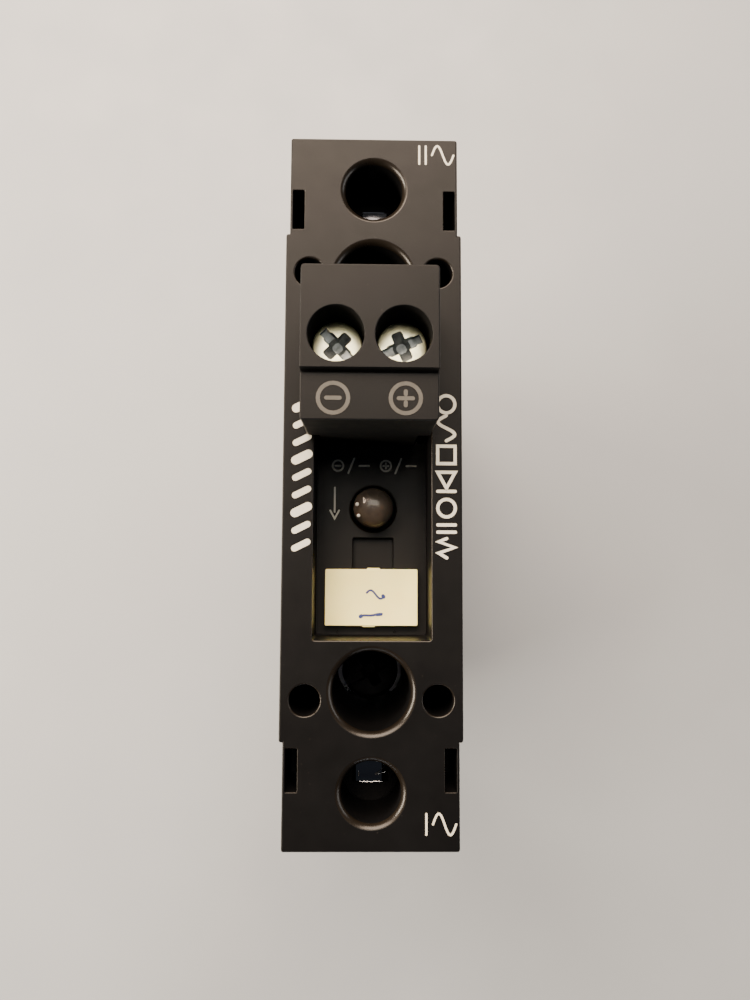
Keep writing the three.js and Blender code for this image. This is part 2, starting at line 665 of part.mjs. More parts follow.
function controlHeader() {
  const { halfX, y, topZ, cavityHalfX, cavityY, floorZ } = HEADER;
  const body = block(about(PLUG_X, halfX), y, [BOARD.frontZ + GAP, topZ]);
  const cavity = block(about(PLUG_X, cavityHalfX), cavityY, [floorZ, topZ + 1]);
  const { half, holeHalf, z } = HEADER_PIN;
  const holeZ = [BOARD.frontZ, floorZ + 1];
  const holes = CONTACT_XS.map((x) => block(about(x, holeHalf), about(PIN_Y, holeHalf), holeZ));
  const header = new THREE.Group();
  header.add(mesh("control_header", cut(body, cavity, ...holes), "component"));
  CONTACT_XS.forEach((x, i) => {
    header.add(mesh(`header_pin_${i + 1}`, block(about(x, half), about(PIN_Y, half), z), "tin"));
  });
  return header;
}

// What is cut from the plug for one pole: the screw's bore, the yoke's room, the wire entry
// and the slot that the contact runs in.
function poleCuts(x) {
  const { y, boreRadius } = PLUG_SCREW;
  const { halfX, halfY, z: [lowZ, topZ], wireHalfX, wireLowZ } = POLE_ROOM;
  const boxHalf = BOX_CONTACT.halfX + GAP;
  const [boxLowZ, boxTopZ] = BOX_CONTACT.z;
  return [
    rod(boreRadius, [topZ - 0.4, PLUG.topZ + 1], x, y),
    block(about(x, halfX), about(y, halfY), [lowZ, topZ]),
    block(about(x, wireHalfX), [y, PLUG.highY + 1], [wireLowZ, topZ]),
    block(about(x, halfX), [PLUG.highY - 1, PLUG.highY + 1], [wireLowZ - 0.2, topZ + 0.6]),
    block(about(x, halfX), [PIN_Y - boxHalf, y], [CONTACT_TONGUE.z[0] - GAP, topZ]),
    block(about(x, boxHalf), [PIN_Y - boxHalf, PIN_Y - 0.5], [boxTopZ - 1, topZ]),
    block(about(x, boxHalf), [PIN_Y - boxHalf, PIN_Y + boxHalf], [boxLowZ - 2, boxTopZ + 0.4]),
  ];
}

function plugHousing() {
  const { halfX, lowY, highY, topZ, labelTopZ } = PLUG;
  const underZ = FACE_Z + 0.4;
  const noseTopZ = RECESS.floorZ + 1;
  const top = roundedBlock(about(PLUG_X, halfX), [lowY, highY], [underZ, topZ], 0.4);
  const waistY = [lowY, PLUG_WAIST.highY];
  const waistZ = [RECESS.floorZ + 0.4, underZ + 1];
  const waist = roundedBlock(about(PLUG_X, PLUG_WAIST.halfX), waistY, waistZ, 0.4);
  const nose = block(about(PLUG_X, NOSE.halfX), NOSE.y, [NOSE.lowZ, noseTopZ]);
  const across = about(PLUG_X, halfX + 1);
  const labelStep = block(across, [lowY - 1, PLUG_GROOVE.y[1]], [labelTopZ, topZ + 1]);
  const groove = block(across, PLUG_GROOVE.y, [labelTopZ - PLUG_GROOVE.depth, topZ + 1]);
  const made = cut(join(top, waist, nose), labelStep, groove, ...CONTACT_XS.flatMap(poleCuts));
  return mesh("plug_housing", made, "housing");
}

function plugContact(index, x) {
  const { halfX, y: [y0, y1], z, wall } = BOX_CONTACT;
  const [tongueLowZ, tongueTopZ] = CONTACT_TONGUE.z;
  const tongueY = [y0, PLUG_SCREW.y + CONTACT_TONGUE.beyondScrew];
  const tongue = block(about(x, CONTACT_TONGUE.halfX), tongueY, CONTACT_TONGUE.z);
  const screwHole = rod(SCREW_THREAD_HOLE, [tongueLowZ - 1, tongueTopZ + 1], x, PLUG_SCREW.y, 20);
  const strip = block(about(x, halfX), [y0, y0 + wall], [z[0], tongueTopZ]);
  const box = block(about(x, halfX), [y0, y1], z);
  const inside = block(about(x, halfX - wall), [y0 + wall, y1 - wall], [z[0] - 1, z[1] + 1]);
  const made = join(cut(tongue, screwHole), strip, cut(box, inside));
  return mesh(`plug_contact_${index}`, made, "brass");
}

function plugYoke(index, x) {
  const { halfX, halfY, z, ridgeY, ridgeTopZ } = YOKE;
  const plate = block(about(x, halfX), about(PLUG_SCREW.y, halfY), z);
  const ridges = [-1, 1].map((side) =>
    block(about(x, halfX), about(PLUG_SCREW.y + side * ridgeY, 0.25), [z[1] - 0.6, ridgeTopZ]),
  );
  const thread = rod(SCREW_THREAD_HOLE, [z[0] - 1, ridgeTopZ + 1], x, PLUG_SCREW.y, 20);
  return mesh(`plug_yoke_${index}`, cut(join(plate, ...ridges), thread), "steel");
}

function plugScrew(index, x, turn) {
  const { y, headTopZ, headRadius, headHeight, shankRadius, tipZ } = PLUG_SCREW;
  const under = headTopZ - headHeight;
  const profile = [
    [shankRadius - 0.4, tipZ],
    [shankRadius, tipZ + 0.6],
    [shankRadius, under],
    [headRadius, under],
    [headRadius, headTopZ - 0.3],
    [headRadius - 0.3, headTopZ],
  ];
  const shape = cut(turned(profile), driveRecess(headTopZ, 5.2, 0.9, 3.4, 1.3));
  const screw = mesh(`plug_screw_${index}`, shape, "zinc");
  screw.position.set(x, y, 0);
  screw.rotation.z = turn;
  return screw;
}

function controlPlug() {
  const plug = new THREE.Group();
  const turns = [THREE.MathUtils.degToRad(-46), THREE.MathUtils.degToRad(24)];
  plug.add(plugHousing());
  CONTACT_XS.forEach((x, i) => {
    plug.add(plugContact(i + 1, x), plugYoke(i + 1, x), plugScrew(i + 1, x, turns[i]));
  });
  return plug;
}

// ---------------------------------------------------------------- assembly

const relay = new THREE.Group();
relay.name = "solid_state_relay";
relay.add(railFoot(), railLatch(), latchSpring(), heatSink());
FOOT_SCREW_YS.forEach((y, i) => relay.add(footScrew(i + 1, y)));
relay.add(insulatingTray(), frontHousing(), sideLabel(), ...housingScrews());
relay.add(powerModule(), loadTerminal(1, Math.PI), loadTerminal(2, 0));
relay.add(controlBoard(), boardComponents(), ledLens(), markerTag());
relay.add(controlHeader(), controlPlug());

export default relay;
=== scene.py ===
# The looks of a slim solid state relay for a 35 mm rail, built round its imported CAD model.
# Sizes and places are in millimetres, in the CAD frame: X across the width, Y along the height with the
# control plug at the +Y end, Z from the rail to the front face. MM turns them into Blender's metres.
import json
import math

import bmesh
import bpy
from mathutils import Matrix, Vector

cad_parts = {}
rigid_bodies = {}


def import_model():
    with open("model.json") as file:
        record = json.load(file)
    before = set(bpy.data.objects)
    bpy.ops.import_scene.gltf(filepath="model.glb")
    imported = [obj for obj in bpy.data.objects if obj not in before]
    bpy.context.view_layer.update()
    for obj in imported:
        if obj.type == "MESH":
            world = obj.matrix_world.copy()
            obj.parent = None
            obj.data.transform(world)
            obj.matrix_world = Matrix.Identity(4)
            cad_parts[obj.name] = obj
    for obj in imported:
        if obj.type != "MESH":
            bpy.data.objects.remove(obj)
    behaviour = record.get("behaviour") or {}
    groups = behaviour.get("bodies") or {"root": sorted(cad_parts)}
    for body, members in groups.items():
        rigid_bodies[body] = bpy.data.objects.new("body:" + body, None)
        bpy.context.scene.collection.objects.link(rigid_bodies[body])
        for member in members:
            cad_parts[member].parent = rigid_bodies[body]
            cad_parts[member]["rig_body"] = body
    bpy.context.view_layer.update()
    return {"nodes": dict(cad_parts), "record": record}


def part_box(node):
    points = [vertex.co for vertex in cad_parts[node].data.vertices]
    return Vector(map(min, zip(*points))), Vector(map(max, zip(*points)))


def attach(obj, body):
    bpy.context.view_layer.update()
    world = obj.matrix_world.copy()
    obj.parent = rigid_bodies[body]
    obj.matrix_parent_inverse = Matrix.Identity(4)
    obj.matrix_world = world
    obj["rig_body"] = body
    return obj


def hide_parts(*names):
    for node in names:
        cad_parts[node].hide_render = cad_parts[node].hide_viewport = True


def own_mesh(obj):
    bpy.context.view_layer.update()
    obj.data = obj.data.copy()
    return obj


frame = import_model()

MM = 0.001
SHARP_ANGLE = math.radians(32)
X, Y, Z = range(3)
# Turns that lay a solid made along Z over another axis: its own x, y, z land on the axes in the names.
TO_YZX = Matrix(((0, 0, 1, 0), (1, 0, 0, 0), (0, 1, 0, 0), (0, 0, 0, 1)))
TO_ZXY = Matrix(((0, 1, 0, 0), (0, 0, 1, 0), (1, 0, 0, 0), (0, 0, 0, 1)))


# ---- places from the frame

def spans(node):
    """A CAD node's (low, high) on X, Y and Z at rest, in millimetres."""
    low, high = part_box(node)
    return [(low[axis] / MM, high[axis] / MM) for axis in range(3)]


def middle(span):
    return (span[0] + span[1]) / 2


def size(span):
    return span[1] - span[0]


def grown(span, by):
    return (span[0] - by, span[1] + by)


def about(centre, half):
    return (centre - half, centre + half)


def centre_of(node):
    """The (x, y) of a CAD node's middle."""
    return tuple(middle(span) for span in spans(node)[:2])


def footprint(sizes):
    """The X and Y spans of something centred on the origin, from its half sizes."""
    return about(0, sizes["half_x"]), about(0, sizes["half_y"])


def slot_of(node):
    return next(part["material_slot"] for part in frame["record"]["subparts"] if part["node"] == node)


# ---- solids

def new_object(name, data):
    obj = bpy.data.objects.new(name, data)
    bpy.context.scene.collection.objects.link(obj)
    return obj


def solid_from(shape, turn=None):
    """An object from a finished bmesh. A turn lays it over another axis."""
    data = bpy.data.meshes.new("solid")
    shape.to_mesh(data)
    shape.free()
    if turn:
        data.transform(turn)
    return new_object("solid", data)


def lofted(rings, turn=None):
    """A closed solid over rings that have equally many points, with flat ends."""
    count = len(rings[0])
    shape = bmesh.new()
    rows = [[shape.verts.new([c * MM for c in point]) for point in ring] for ring in rings]
    for lower, upper in zip(rows, rows[1:]):
        for i in range(count):
            j = (i + 1) % count
            shape.faces.new((lower[i], lower[j], upper[j], upper[i]))
    shape.faces.new(list(reversed(rows[0])))
    shape.faces.new(rows[-1])
    bmesh.ops.recalc_face_normals(shape, faces=shape.faces)
    return solid_from(shape, turn)


def arc(centre, radius, start, end, steps):
    """Points on a circular arc, by its start and end angles in degrees."""
    angles = [math.radians(start + (end - start) * i / steps) for i in range(steps + 1)]
    return [(centre[0] + radius * math.cos(a), centre[1] + radius * math.sin(a)) for a in angles]


def quarter(steps):
    """The points of a quarter circle of radius 1, in even steps from (1, 0) to (0, 1)."""
    return arc((0, 0), 1, 0, 90, steps)


def rounded_ring(x, y, z, radius, steps=5):
    """A rectangle with rounded corners, as points at height z."""
    radius = max(0.01, min(radius, size(x) / 2 - 0.005, size(y) / 2 - 0.005))
    inner_x, inner_y = grown(x, -radius), grown(y, -radius)
    points = []
    for i, j, start in ((1, 1, 0), (0, 1, 90), (0, 0, 180), (1, 0, 270)):
        points += arc((inner_x[i], inner_y[j]), radius, start, start + 90, steps)
    return [(a, b, z) for a, b in points]


def slab(x, y, z, radius, edge, steps=3, turn=None):
    """A block with rounded upright corners, and its top and bottom edges rounded too."""
    edge = min(edge, size(z) / 2.1)
    rings = [(edge * (1 - b), z[0] + edge * (1 - a)) for a, b in quarter(steps)]
    rings += [(inset, z[0] + z[1] - height) for inset, height in reversed(rings)]
    loops = [rounded_ring(grown(x, -inset), grown(y, -inset), h, radius - inset) for inset, h in rings]
    return lofted(loops, turn)


def pocket(x, y, z, radius, mouth):
    """What to cut for a blind pocket down from z[1], so that its rim is rounded by mouth."""
    rim = [(mouth * (1 - a), z[1] - mouth + mouth * b) for a, b in quarter(3)]
    rings = [(0, z[0]), *rim, (mouth, z[1] + 1)]
    return lofted([rounded_ring(grown(x, out), grown(y, out), h, radius + out) for out, h in rings])


def turned(profile, x=0, y=0, segments=64):
    """A solid of revolution about Z through (x, y), from (radius, z) points listed upwards."""
    rings = []
    for radius, z in profile:
        rings.append([(a, b, z) for a, b in arc((x, y), radius, 0, 360, segments)[:-1]])
    return lofted(rings)


def extruded(outline, span, turn=None):
    """A solid over an outline of (x, y) points, from one end of span to the other."""
    return lofted([[(a, b, c) for a, b in outline] for c in span], turn)


def flared_bore(radius, mouth, z, x, y, segments=96, steps=9, power=1.0):
    """What to cut for a bore down from z[1] whose rim is eased out to the mouth radius.

    A power of 1 rounds the rim, and higher powers flatten it towards a chamfer.
    """
    width = mouth - radius
    rim = [(mouth - width * a ** power, z[1] - width + width * b ** power) for a, b in quarter(steps)]
    return turned([(radius, z[0]), *rim, (mouth, z[1] + 1)], x, y, segments)


def threaded_rod(radius, depth, pitch, z):
    """A rod with a right-hand thread that fades out at both ends."""
    segments = 32
    rows_per_turn = 10
    rows = max(4, round(size(z) / pitch * rows_per_turn))
    circle = arc((0, 0), 1, 0, 360, segments)[:-1]
    rings = []
    for row in range(rows + 1):
        height = z[0] + size(z) * row / rows
        fade = min(1, (height - z[0]) / pitch, (z[1] - height) / pitch)
        ring = []
        for i, (a, b) in enumerate(circle):
            phase = (height / pitch - i / segments) % 1
            r = radius - depth * (1 - fade * abs(2 * phase - 1))
            ring.append((r * a, r * b, height))
        rings.append(ring)
    return lofted(rings)


def swept_tube(path, radius, sides):
    """A round wire along a list of points."""
    points = [Vector(p) for p in path]
    circle = arc((0, 0), radius, 0, 360, sides)[:-1]
    normal = None
    rings = []
    for i, point in enumerate(points):
        tangent = (points[min(i + 1, len(points) - 1)] - points[max(i - 1, 0)]).normalized()
        if normal is None:
            normal = tangent.orthogonal().normalized()
        normal = (normal - tangent * normal.dot(tangent)).normalized()
        side = tangent.cross(normal)
        rings.append([point + a * normal + b * side for a, b in circle])
    return lofted(rings)


def apply_modifiers(obj):
    graph = bpy.context.evaluated_depsgraph_get()
    data = bpy.data.meshes.new_from_object(obj.evaluated_get(graph))
    obj.modifiers.clear()
    obj.data = data


def combined(base, tools, operation):
    for tool in tools:
        modifier = base.modifiers.new("join", "BOOLEAN")
        modifier.object = tool
        modifier.operation = operation
        modifier.solver = "MANIFOLD"
    bpy.context.view_layer.update()
    apply_modifiers(base)
    for tool in tools:
        bpy.data.objects.remove(tool)
    return base


def joined(base, *tools):
    return combined(base, tools, "UNION")


def cut(base, *tools):
    return combined(base, tools, "DIFFERENCE")


def turned_about(obj, x, y, degrees):
    """Turns an object about Z, then moves its axis to (x, y)."""
    turn = Matrix.Rotation(math.radians(degrees), 4, "Z")
    obj.data.transform(Matrix.Translation((x * MM, y * MM, 0)) @ turn)
    return obj


def grouped(objects):
    """Several objects' meshes as one object."""
    shape = bmesh.new()
    for obj in objects:
        shape.from_mesh(obj.data)
        bpy.data.objects.remove(obj)
    return solid_from(shape)


def bevelled(obj, width, segments):
    modifier = obj.modifiers.new("ease", "BEVEL")
    modifier.width = width * MM
    modifier.segments = segments
    modifier.limit_method = "ANGLE"
    modifier.angle_limit = SHARP_ANGLE
    apply_modifiers(obj)
    return obj


def polished(obj):
    """Smooth shading that keeps sharp edges, with flat faces left flat."""
    obj.data.polygons.foreach_set("use_smooth", [True] * len(obj.data.polygons))
    obj.data.set_sharp_from_angle(angle=SHARP_ANGLE)
    modifier = obj.modifiers.new("normals", "WEIGHTED_NORMAL")
    modifier.keep_sharp = True
    modifier.weight = 100
    apply_modifiers(obj)
    return obj


def from_node(node, width, segments):
    """A copy of a CAD node's mesh with its edges eased."""
    shape = bmesh.new()
    shape.from_mesh(frame["nodes"][node].data)
    bmesh.ops.remove_doubles(shape, verts=shape.verts, dist=0.0005 * MM)
    bmesh.ops.dissolve_limit(shape, angle_limit=math.radians(1), verts=shape.verts, edges=shape.edges)
    return bevelled(solid_from(shape), width, segments)


def rides_with(obj, name, node, slot, material):
    """Finishes a piece that moves with a CAD node's body."""
    obj.name = name
    obj.data.materials.clear()
    obj.data.materials.append(material)
    polished(obj)
    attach(obj, frame["nodes"][node]["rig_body"])


def stands_for(obj, node, material):
    """Finishes a detailed piece that takes the place of a CAD node."""
    rides_with(obj, f"{node}_detail", node, slot_of(node), material)
    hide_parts(node)
    return obj


# ---- materials

class Surface:
    """A material's nodes, which end in one Principled shader."""

    def __init__(self, name, **sockets):
        self.material = bpy.data.materials.new(name)
        self.material.use_nodes = True
        self.tree = self.material.node_tree
        self.shader = self.tree.nodes["Principled BSDF"]
        self.place = self.tree.nodes.new("ShaderNodeTexCoord").outputs["Object"]
        for socket, value in sockets.items():
            self.feed(self.shader.inputs[socket.replace("_", " ")], value)

    def feed(self, socket, value):
        """Gives a socket a fixed value, or links another node's output to it."""
        if isinstance(value, bpy.types.NodeSocket):
            self.tree.links.new(value, socket)
        else:
            socket.default_value = value

    def node(self, kind, **inputs):
        """A new node with its inputs fed. The underscores in an input's name stand for spaces."""
        node = self.tree.nodes.new(kind)
        for name, value in inputs.items():
            self.feed(node.inputs[name.replace("_", " ")], value)
        return node

    def noise(self, wavelength, detail=2.0, roughness=0.5, stretch=(1, 1, 1)):
        """Soft noise from 0 to 1, with features of about wavelength millimetres."""
        place = self.node("ShaderNodeMapping", Vector=self.place, Scale=stretch).outputs["Vector"]
        inputs = {"Scale": 1 / (wavelength * MM), "Detail": detail, "Roughness": roughness}
        return self.node("ShaderNodeTexNoise", Vector=place, **inputs).outputs["Fac"]

    def cells(self, wavelength):
        """The distance to the nearest of points scattered about wavelength millimetres apart."""
        node = self.node("ShaderNodeTexVoronoi", Vector=self.place, Scale=1 / (wavelength * MM))
        return node.outputs["Distance"]

    def ranged(self, value, from_low, from_high, low=0.0, high=1.0):
        limits = {"From_Min": from_low, "From_Max": from_high, "To_Min": low, "To_Max": high}
        return self.node("ShaderNodeMapRange", Value=value, **limits).outputs["Result"]

    def eased(self, value, low, high):
        """The middle part of a noise's range, spread from low to high."""
        return self.ranged(value, 0.3, 0.7, low, high)

    def mixed(self, share, first, second):
        """A colour between two, by share. Each is a colour or another node's output."""
        node = self.tree.nodes.new("ShaderNodeMix")
        node.data_type = "RGBA"
        self.feed(node.inputs[0], share)
        for index, colour in ((6, first), (7, second)):
            self.feed(node.inputs[index], (*colour, 1) if isinstance(colour, tuple) else colour)
        return node.outputs[2]

    def mottled(self, value, first, second):
        """A colour that drifts between two with a noise."""
        return self.mixed(self.eased(value, 0, 1), first, second)

    def bumped(self, height, depth, below=None):
        """A normal from a height of 0 to 1 that stands for depth millimetres."""
        node = self.node("ShaderNodeBump", Height=height, Distance=depth * MM)
        if below:
            self.feed(node.inputs["Normal"], below)
        return node.outputs["Normal"]

    def finished(self, colour, roughness, normal=None):
        """The material, with these outputs linked to its shader."""
        for socket, output in (("Base Color", colour), ("Roughness", roughness), ("Normal", normal)):
            if output:
                self.feed(self.shader.inputs[socket], output)
        return self.material


def scaled(colour, by):
    return tuple(min(1, c * by) for c in colour)


def moulded(name, colour, gloss, grain=0.22, grain_depth=0.006, dust=0.0, shine=0.5):
    """Injection-moulded plastic: an eroded grain, slow mottling, and a little dust."""
    s = Surface(name, Specular_IOR_Level=shine)
    body = s.mottled(s.noise(9, 3), scaled(colour, 0.82), scaled(colour, 1.18))
    if dust:
        body = s.mixed(s.ranged(s.noise(0.55, 1), 0.76, 0.84, 0, dust), body, (0.34, 0.31, 0.27))
    coarse = s.bumped(s.noise(grain, 3, 0.6), grain_depth)
    return s.finished(body, s.eased(s.noise(2.5, 4), *gloss), s.bumped(s.noise(14, 2), 0.05, coarse))


def plated(name, colour, gloss, dull=0.25):
    """Bright electroplating: faint crystals, cloudy patches and fine tool marks."""
    s = Surface(name, Metallic=1.0)
    clouds = s.noise(1.3, 4, 0.6)
    body = s.mixed(s.ranged(clouds, 0.35, 0.72), colour, scaled(colour, 1 - dull))
    body = s.mixed(s.ranged(s.noise(0.5, 2), 0.72, 0.85, 0, 0.25), body, scaled(colour, 0.45))
    return s.finished(body, s.ranged(clouds, 0.3, 0.75, *gloss), s.bumped(s.noise(0.25, 3, 0.6), 0.0015))


def drawn(name, colour, lengthways, gloss, depth=0.004):
    """Sheet or drawn metal with long die lines. Lengthways is how much each axis is squeezed."""
    s = Surface(name, Metallic=1.0)
    lines = s.noise(0.25, 3, 0.6, lengthways)
    body = s.mottled(s.noise(2.2, 2, 0.5, lengthways), scaled(colour, 0.86), scaled(colour, 1.1))
    return s.finished(body, s.eased(lines, *gloss), s.bumped(lines, depth))


def anodised():
    """Black anodised aluminium: die lines along the extrusion under a thin clear oxide."""
    s = Surface("anodised_black", Metallic=0.75, Coat_Weight=0.12, Coat_Roughness=0.35)
    lines = s.noise(0.3, 3, 0.6, (1, 0.02, 1))
    body = s.mottled(s.noise(7, 3), (0.022, 0.022, 0.024), (0.042, 0.042, 0.046))
    body = s.mixed(s.ranged(lines, 0.55, 0.8, 0, 0.5), body, (0.09, 0.09, 0.095))
    normal = s.bumped(lines, 0.008, s.bumped(s.noise(0.1, 2), 0.002))
    return s.finished(body, s.eased(lines, 0.34, 0.5), normal)


def clear_lens():
    """Smoky clear epoxy, polished, with a faint haze."""
    s = Surface("smoky_epoxy", Transmission_Weight=0.96, IOR=1.4, Specular_IOR_Level=0.2)
    haze = s.noise(1.6, 2)
    body = s.mixed(s.ranged(haze, 0.35, 0.7), (0.82, 0.70, 0.58), (0.74, 0.62, 0.50))
    return s.finished(body, s.eased(haze, 0.14, 0.2), s.bumped(s.noise(1.1, 1), 0.004))


def lamp_core_surface():
    """The cloudy core of the lamp, beige and warm."""
    s = Surface("lamp_core", Subsurface_Weight=0.2, Subsurface_Scale=0.4 * MM)
    clouds = s.noise(1.4, 3)
    body = s.mixed(s.ranged(clouds, 0.35, 0.7), (0.017, 0.011, 0.006), (0.046, 0.031, 0.019))
    return s.finished(body, s.eased(clouds, 0.35, 0.5))


def tag_plastic():
    """Cream marker plastic, faintly yellowed, with specks of rubbed-in dirt."""
    s = Surface("marker_plastic", Subsurface_Weight=0.08, Subsurface_Scale=0.5 * MM)
    body = s.mottled(s.noise(4, 4), (0.96, 0.87, 0.33), (0.99, 0.91, 0.38))
    body = s.mixed(s.ranged(s.noise(0.3, 1), 0.78, 0.86, 0, 0.25), body, (0.35, 0.31, 0.25))
    return s.finished(body, s.eased(s.noise(1.5, 3), 0.42, 0.58), s.bumped(s.noise(0.3, 3), 0.004))


def printed(name, colour, worn=0.35):
    """Pad-printed ink, a little uneven and rubbed."""
    s = Surface(name)
    wear = s.ranged(s.noise(0.35, 4, 0.65), 0.55, 0.8, 0, worn)
    return s.finished(s.mixed(wear, colour, scaled(colour, 0.35)), s.eased(s.noise(0.8, 2), 0.45, 0.65))


def film():
    """Satin metallised film for the rating label, with a fine weave of its backing."""
    s = Surface("label_film", Metallic=0.35, Coat_Weight=0.3, Coat_Roughness=0.3)
    body = s.mottled(s.noise(12, 3), (0.36, 0.37, 0.38), (0.44, 0.45, 0.46))
    weave = s.eased(s.noise(0.5, 2, 0.5, (1, 1, 0.1)), 0.36, 0.48)
    return s.finished(body, weave, s.bumped(s.noise(1.2, 3), 0.01))


def fired_ceramic():
    s = Surface("alumina")
    grains = s.cells(0.12)
    body = s.mottled(s.noise(2, 3), (0.80, 0.78, 0.73), (0.88, 0.86, 0.82))
    return s.finished(body, s.ranged(grains, 0, 0.7, 0.4, 0.6), s.bumped(grains, 0.002))


def soft_pad():
    s = Surface("gap_filler", Sheen_Weight=0.2)
    body = s.mixed(s.ranged(s.cells(0.2), 0, 0.6), (0.30, 0.31, 0.33), (0.42, 0.43, 0.45))
    return s.finished(body, s.eased(s.noise(1, 3), 0.75, 0.92), s.bumped(s.noise(0.4, 4), 0.02))


def solder_resist():
    """Green solder resist over a woven glass board."""
    s = Surface("solder_resist", Coat_Weight=0.4, Coat_Roughness=0.15)
    warp = s.noise(0.45, 1, 0.5, (1, 0.12, 1))
    weft = s.noise(0.45, 1, 0.5, (0.12, 1, 1))
    woven = s.mixed(s.ranged(warp, 0.4, 0.6), (0.018, 0.105, 0.045), (0.03, 0.15, 0.07))
    body = s.mixed(s.ranged(weft, 0.4, 0.6, 0, 0.5), woven, (0.012, 0.085, 0.04))
    normal = s.bumped(warp, 0.004, s.bumped(weft, 0.004))
    return s.finished(body, s.eased(s.noise(0.9, 3), 0.28, 0.4), normal)


def glossy(name, colour, gloss):
    """A dipped or moulded shiny coat, with orange peel."""
    s = Surface(name, Coat_Weight=0.3, Coat_Roughness=0.1)
    body = s.mottled(s.noise(2, 3), scaled(colour, 0.85), scaled(colour, 1.12))
    return s.finished(body, s.eased(s.noise(0.6, 3), *gloss), s.bumped(s.noise(0.7, 3), 0.012))


def floor_surface():
    s = Surface("pale_floor")
    body = s.mottled(s.noise(60, 4), (0.205, 0.222, 0.24), (0.22, 0.238, 0.255))
    return s.finished(body, s.eased(s.noise(20, 4), 0.5, 0.62), s.bumped(s.noise(2.5, 3), 0.02))


HOUSING_PLASTIC = moulded("housing_plastic", (0.0016, 0.0016, 0.0018), (0.4, 0.45), dust=0.02, shine=0.115)
# Glossier plastic for the hole rims, also lighter, browner and more reflective than the housing's: a
# painted sheen and painted glints.
RIM_GLOSS_SHEEN_PLASTIC = moulded("rim_plastic_painted_sheen", (0.005, 0.0038, 0.0026), (0.25, 0.33), grain_depth=0.003, shine=0.21)
# Plastic for the recess floor: slightly lighter, warmer, more reflective and dustier than the housing's.
RECESS_PLASTIC = moulded("recess_plastic", (0.0022, 0.0021, 0.002), (0.46, 0.52), dust=0.03, shine=0.22)
# A duller, less reflective copy of the housing plastic: painted shade in the plug's screw bores and on its
# faces towards -Y.
SHADE_DULL_PLASTIC = moulded("plastic_painted_shade", (0.002, 0.002, 0.002), (0.7, 0.82), shine=0.08)
FOOT_PLASTIC = moulded("foot_plastic", (0.022, 0.022, 0.024), (0.5, 0.62), grain=0.3, grain_depth=0.012)
GREY_PLASTIC = moulded("grey_plastic", (0.05, 0.052, 0.056), (0.45, 0.58))
COMPONENT_PLASTIC = moulded("component_plastic", (0.02, 0.02, 0.022), (0.4, 0.52), grain=0.12)
ZINC = plated("yellow_zinc", (0.95, 0.90, 0.58), (0.28, 0.36), 0.12)
# A dull grey copy of the zinc for the plug screws' drive recesses: painted shade inside the recess.
SHADED_DRIVE_ZINC = plated("drive_painted_shade", (0.46, 0.50, 0.50), (0.5, 0.65), 0.5)
BLUE_ZINC = plated("clear_zinc", (0.68, 0.69, 0.72), (0.24, 0.42))
# Near-black steel for the load screws, which paints the shade deep in their bores.
SHADE_BLACK_STEEL = plated("steel_painted_shade", (0.012, 0.012, 0.013), (0.5, 0.66))
SPRING_STEEL = drawn("spring_steel", (0.55, 0.56, 0.58), (1, 1, 1), (0.2, 0.32), 0.002)
TIN = drawn("tinned_copper", (0.52, 0.53, 0.56), (1, 0.05, 1), (0.16, 0.26), 0.002)
# A near-black copy of tinned copper for the busbars, which paints the shade on the tongues seen down the
# end holes.
SHADED_BUSBAR = drawn("busbar_painted_shade", (0.085, 0.09, 0.105), (0.05, 1, 1), (0.12, 0.2), 0.0005)
COPPER = drawn("bare_copper", (0.72, 0.38, 0.22), (1, 0.05, 1), (0.24, 0.4))
BRASS = drawn("stamped_brass", (0.78, 0.60, 0.28), (1, 1, 0.08), (0.22, 0.36))
WHITE_INK = printed("white_ink", (0.42, 0.41, 0.35))
GREY_INK = printed("grey_ink", (0.024, 0.022, 0.017), 0.5)
DARK_INK = printed("dark_ink", (0.03, 0.03, 0.035))
PEN_INK = printed("blue_pen_ink", (0.014, 0.03, 0.15), 0.75)
SILICON = glossy("silicon_die", (0.10, 0.11, 0.14), (0.12, 0.2))
VARISTOR_COAT = glossy("blue_epoxy", (0.02, 0.09, 0.34), (0.15, 0.28))
WHITE_PACKAGE = glossy("white_package", (0.74, 0.73, 0.68), (0.3, 0.42))


# ---- front housing

SHELL = spans("front_housing")
BACK_Z, FACE_Z = SHELL[Z]
FACE_EDGE = 0.22
CLEARANCE = 0.3
ROOM = 0.4
END_HALF_X = 10.78  # both terminal ends are slimmer
BODY_HALF_Y = 31.95
RECESS = {"half_x": 7.36, "half_y": 19.67, "floor_z": 90.0}
CAVITY = {"half_x": 9.75, "half_y": 19.6, "top_z": 88.4}
PASSAGE_LOW_Z = 86.0  # the holes in the recess floor reach down to here
LOAD_BORE = (4.85, 5.58, 75.0)  # radius, mouth and floor height
END_BORE = (3.7, 4.4, 88.4)
END_BORE_Y = 37.92
RIM_POWER = 1.25
RIM_DEPTH = 1.0
SCREW_TUBE = {"radius": 1.9, "mouth": 2.12, "shank_radius": 1.4, "seat_z": 60.7}
COVER_SLOT = {"x": 9.7, "half_x": 0.75, "y": 35.2, "half_y": 2.6, "depth": 9.0}
LAMP_HOLE_RADIUS = 2.95
LAMP_HOLE_MOUTH = 3.33
TAG_GROOVE = {"x": 0.2, "half_x": 2.7, "y": (-18.4, -6.8), "depth": 1.0}
CAGE_CHAMBER_TOP = 76.0
BAR_CHANNEL = {"half_x": 4.0, "top_z": 66.9}
LEG_ROOM = {"half_x": 2.4, "inner_y": 31.1, "low_z": 60.0, "inner_top_z": 67.5}
WIRE_CHANNEL = {"half_x": 3.7, "z": (58.9, 64.8)}


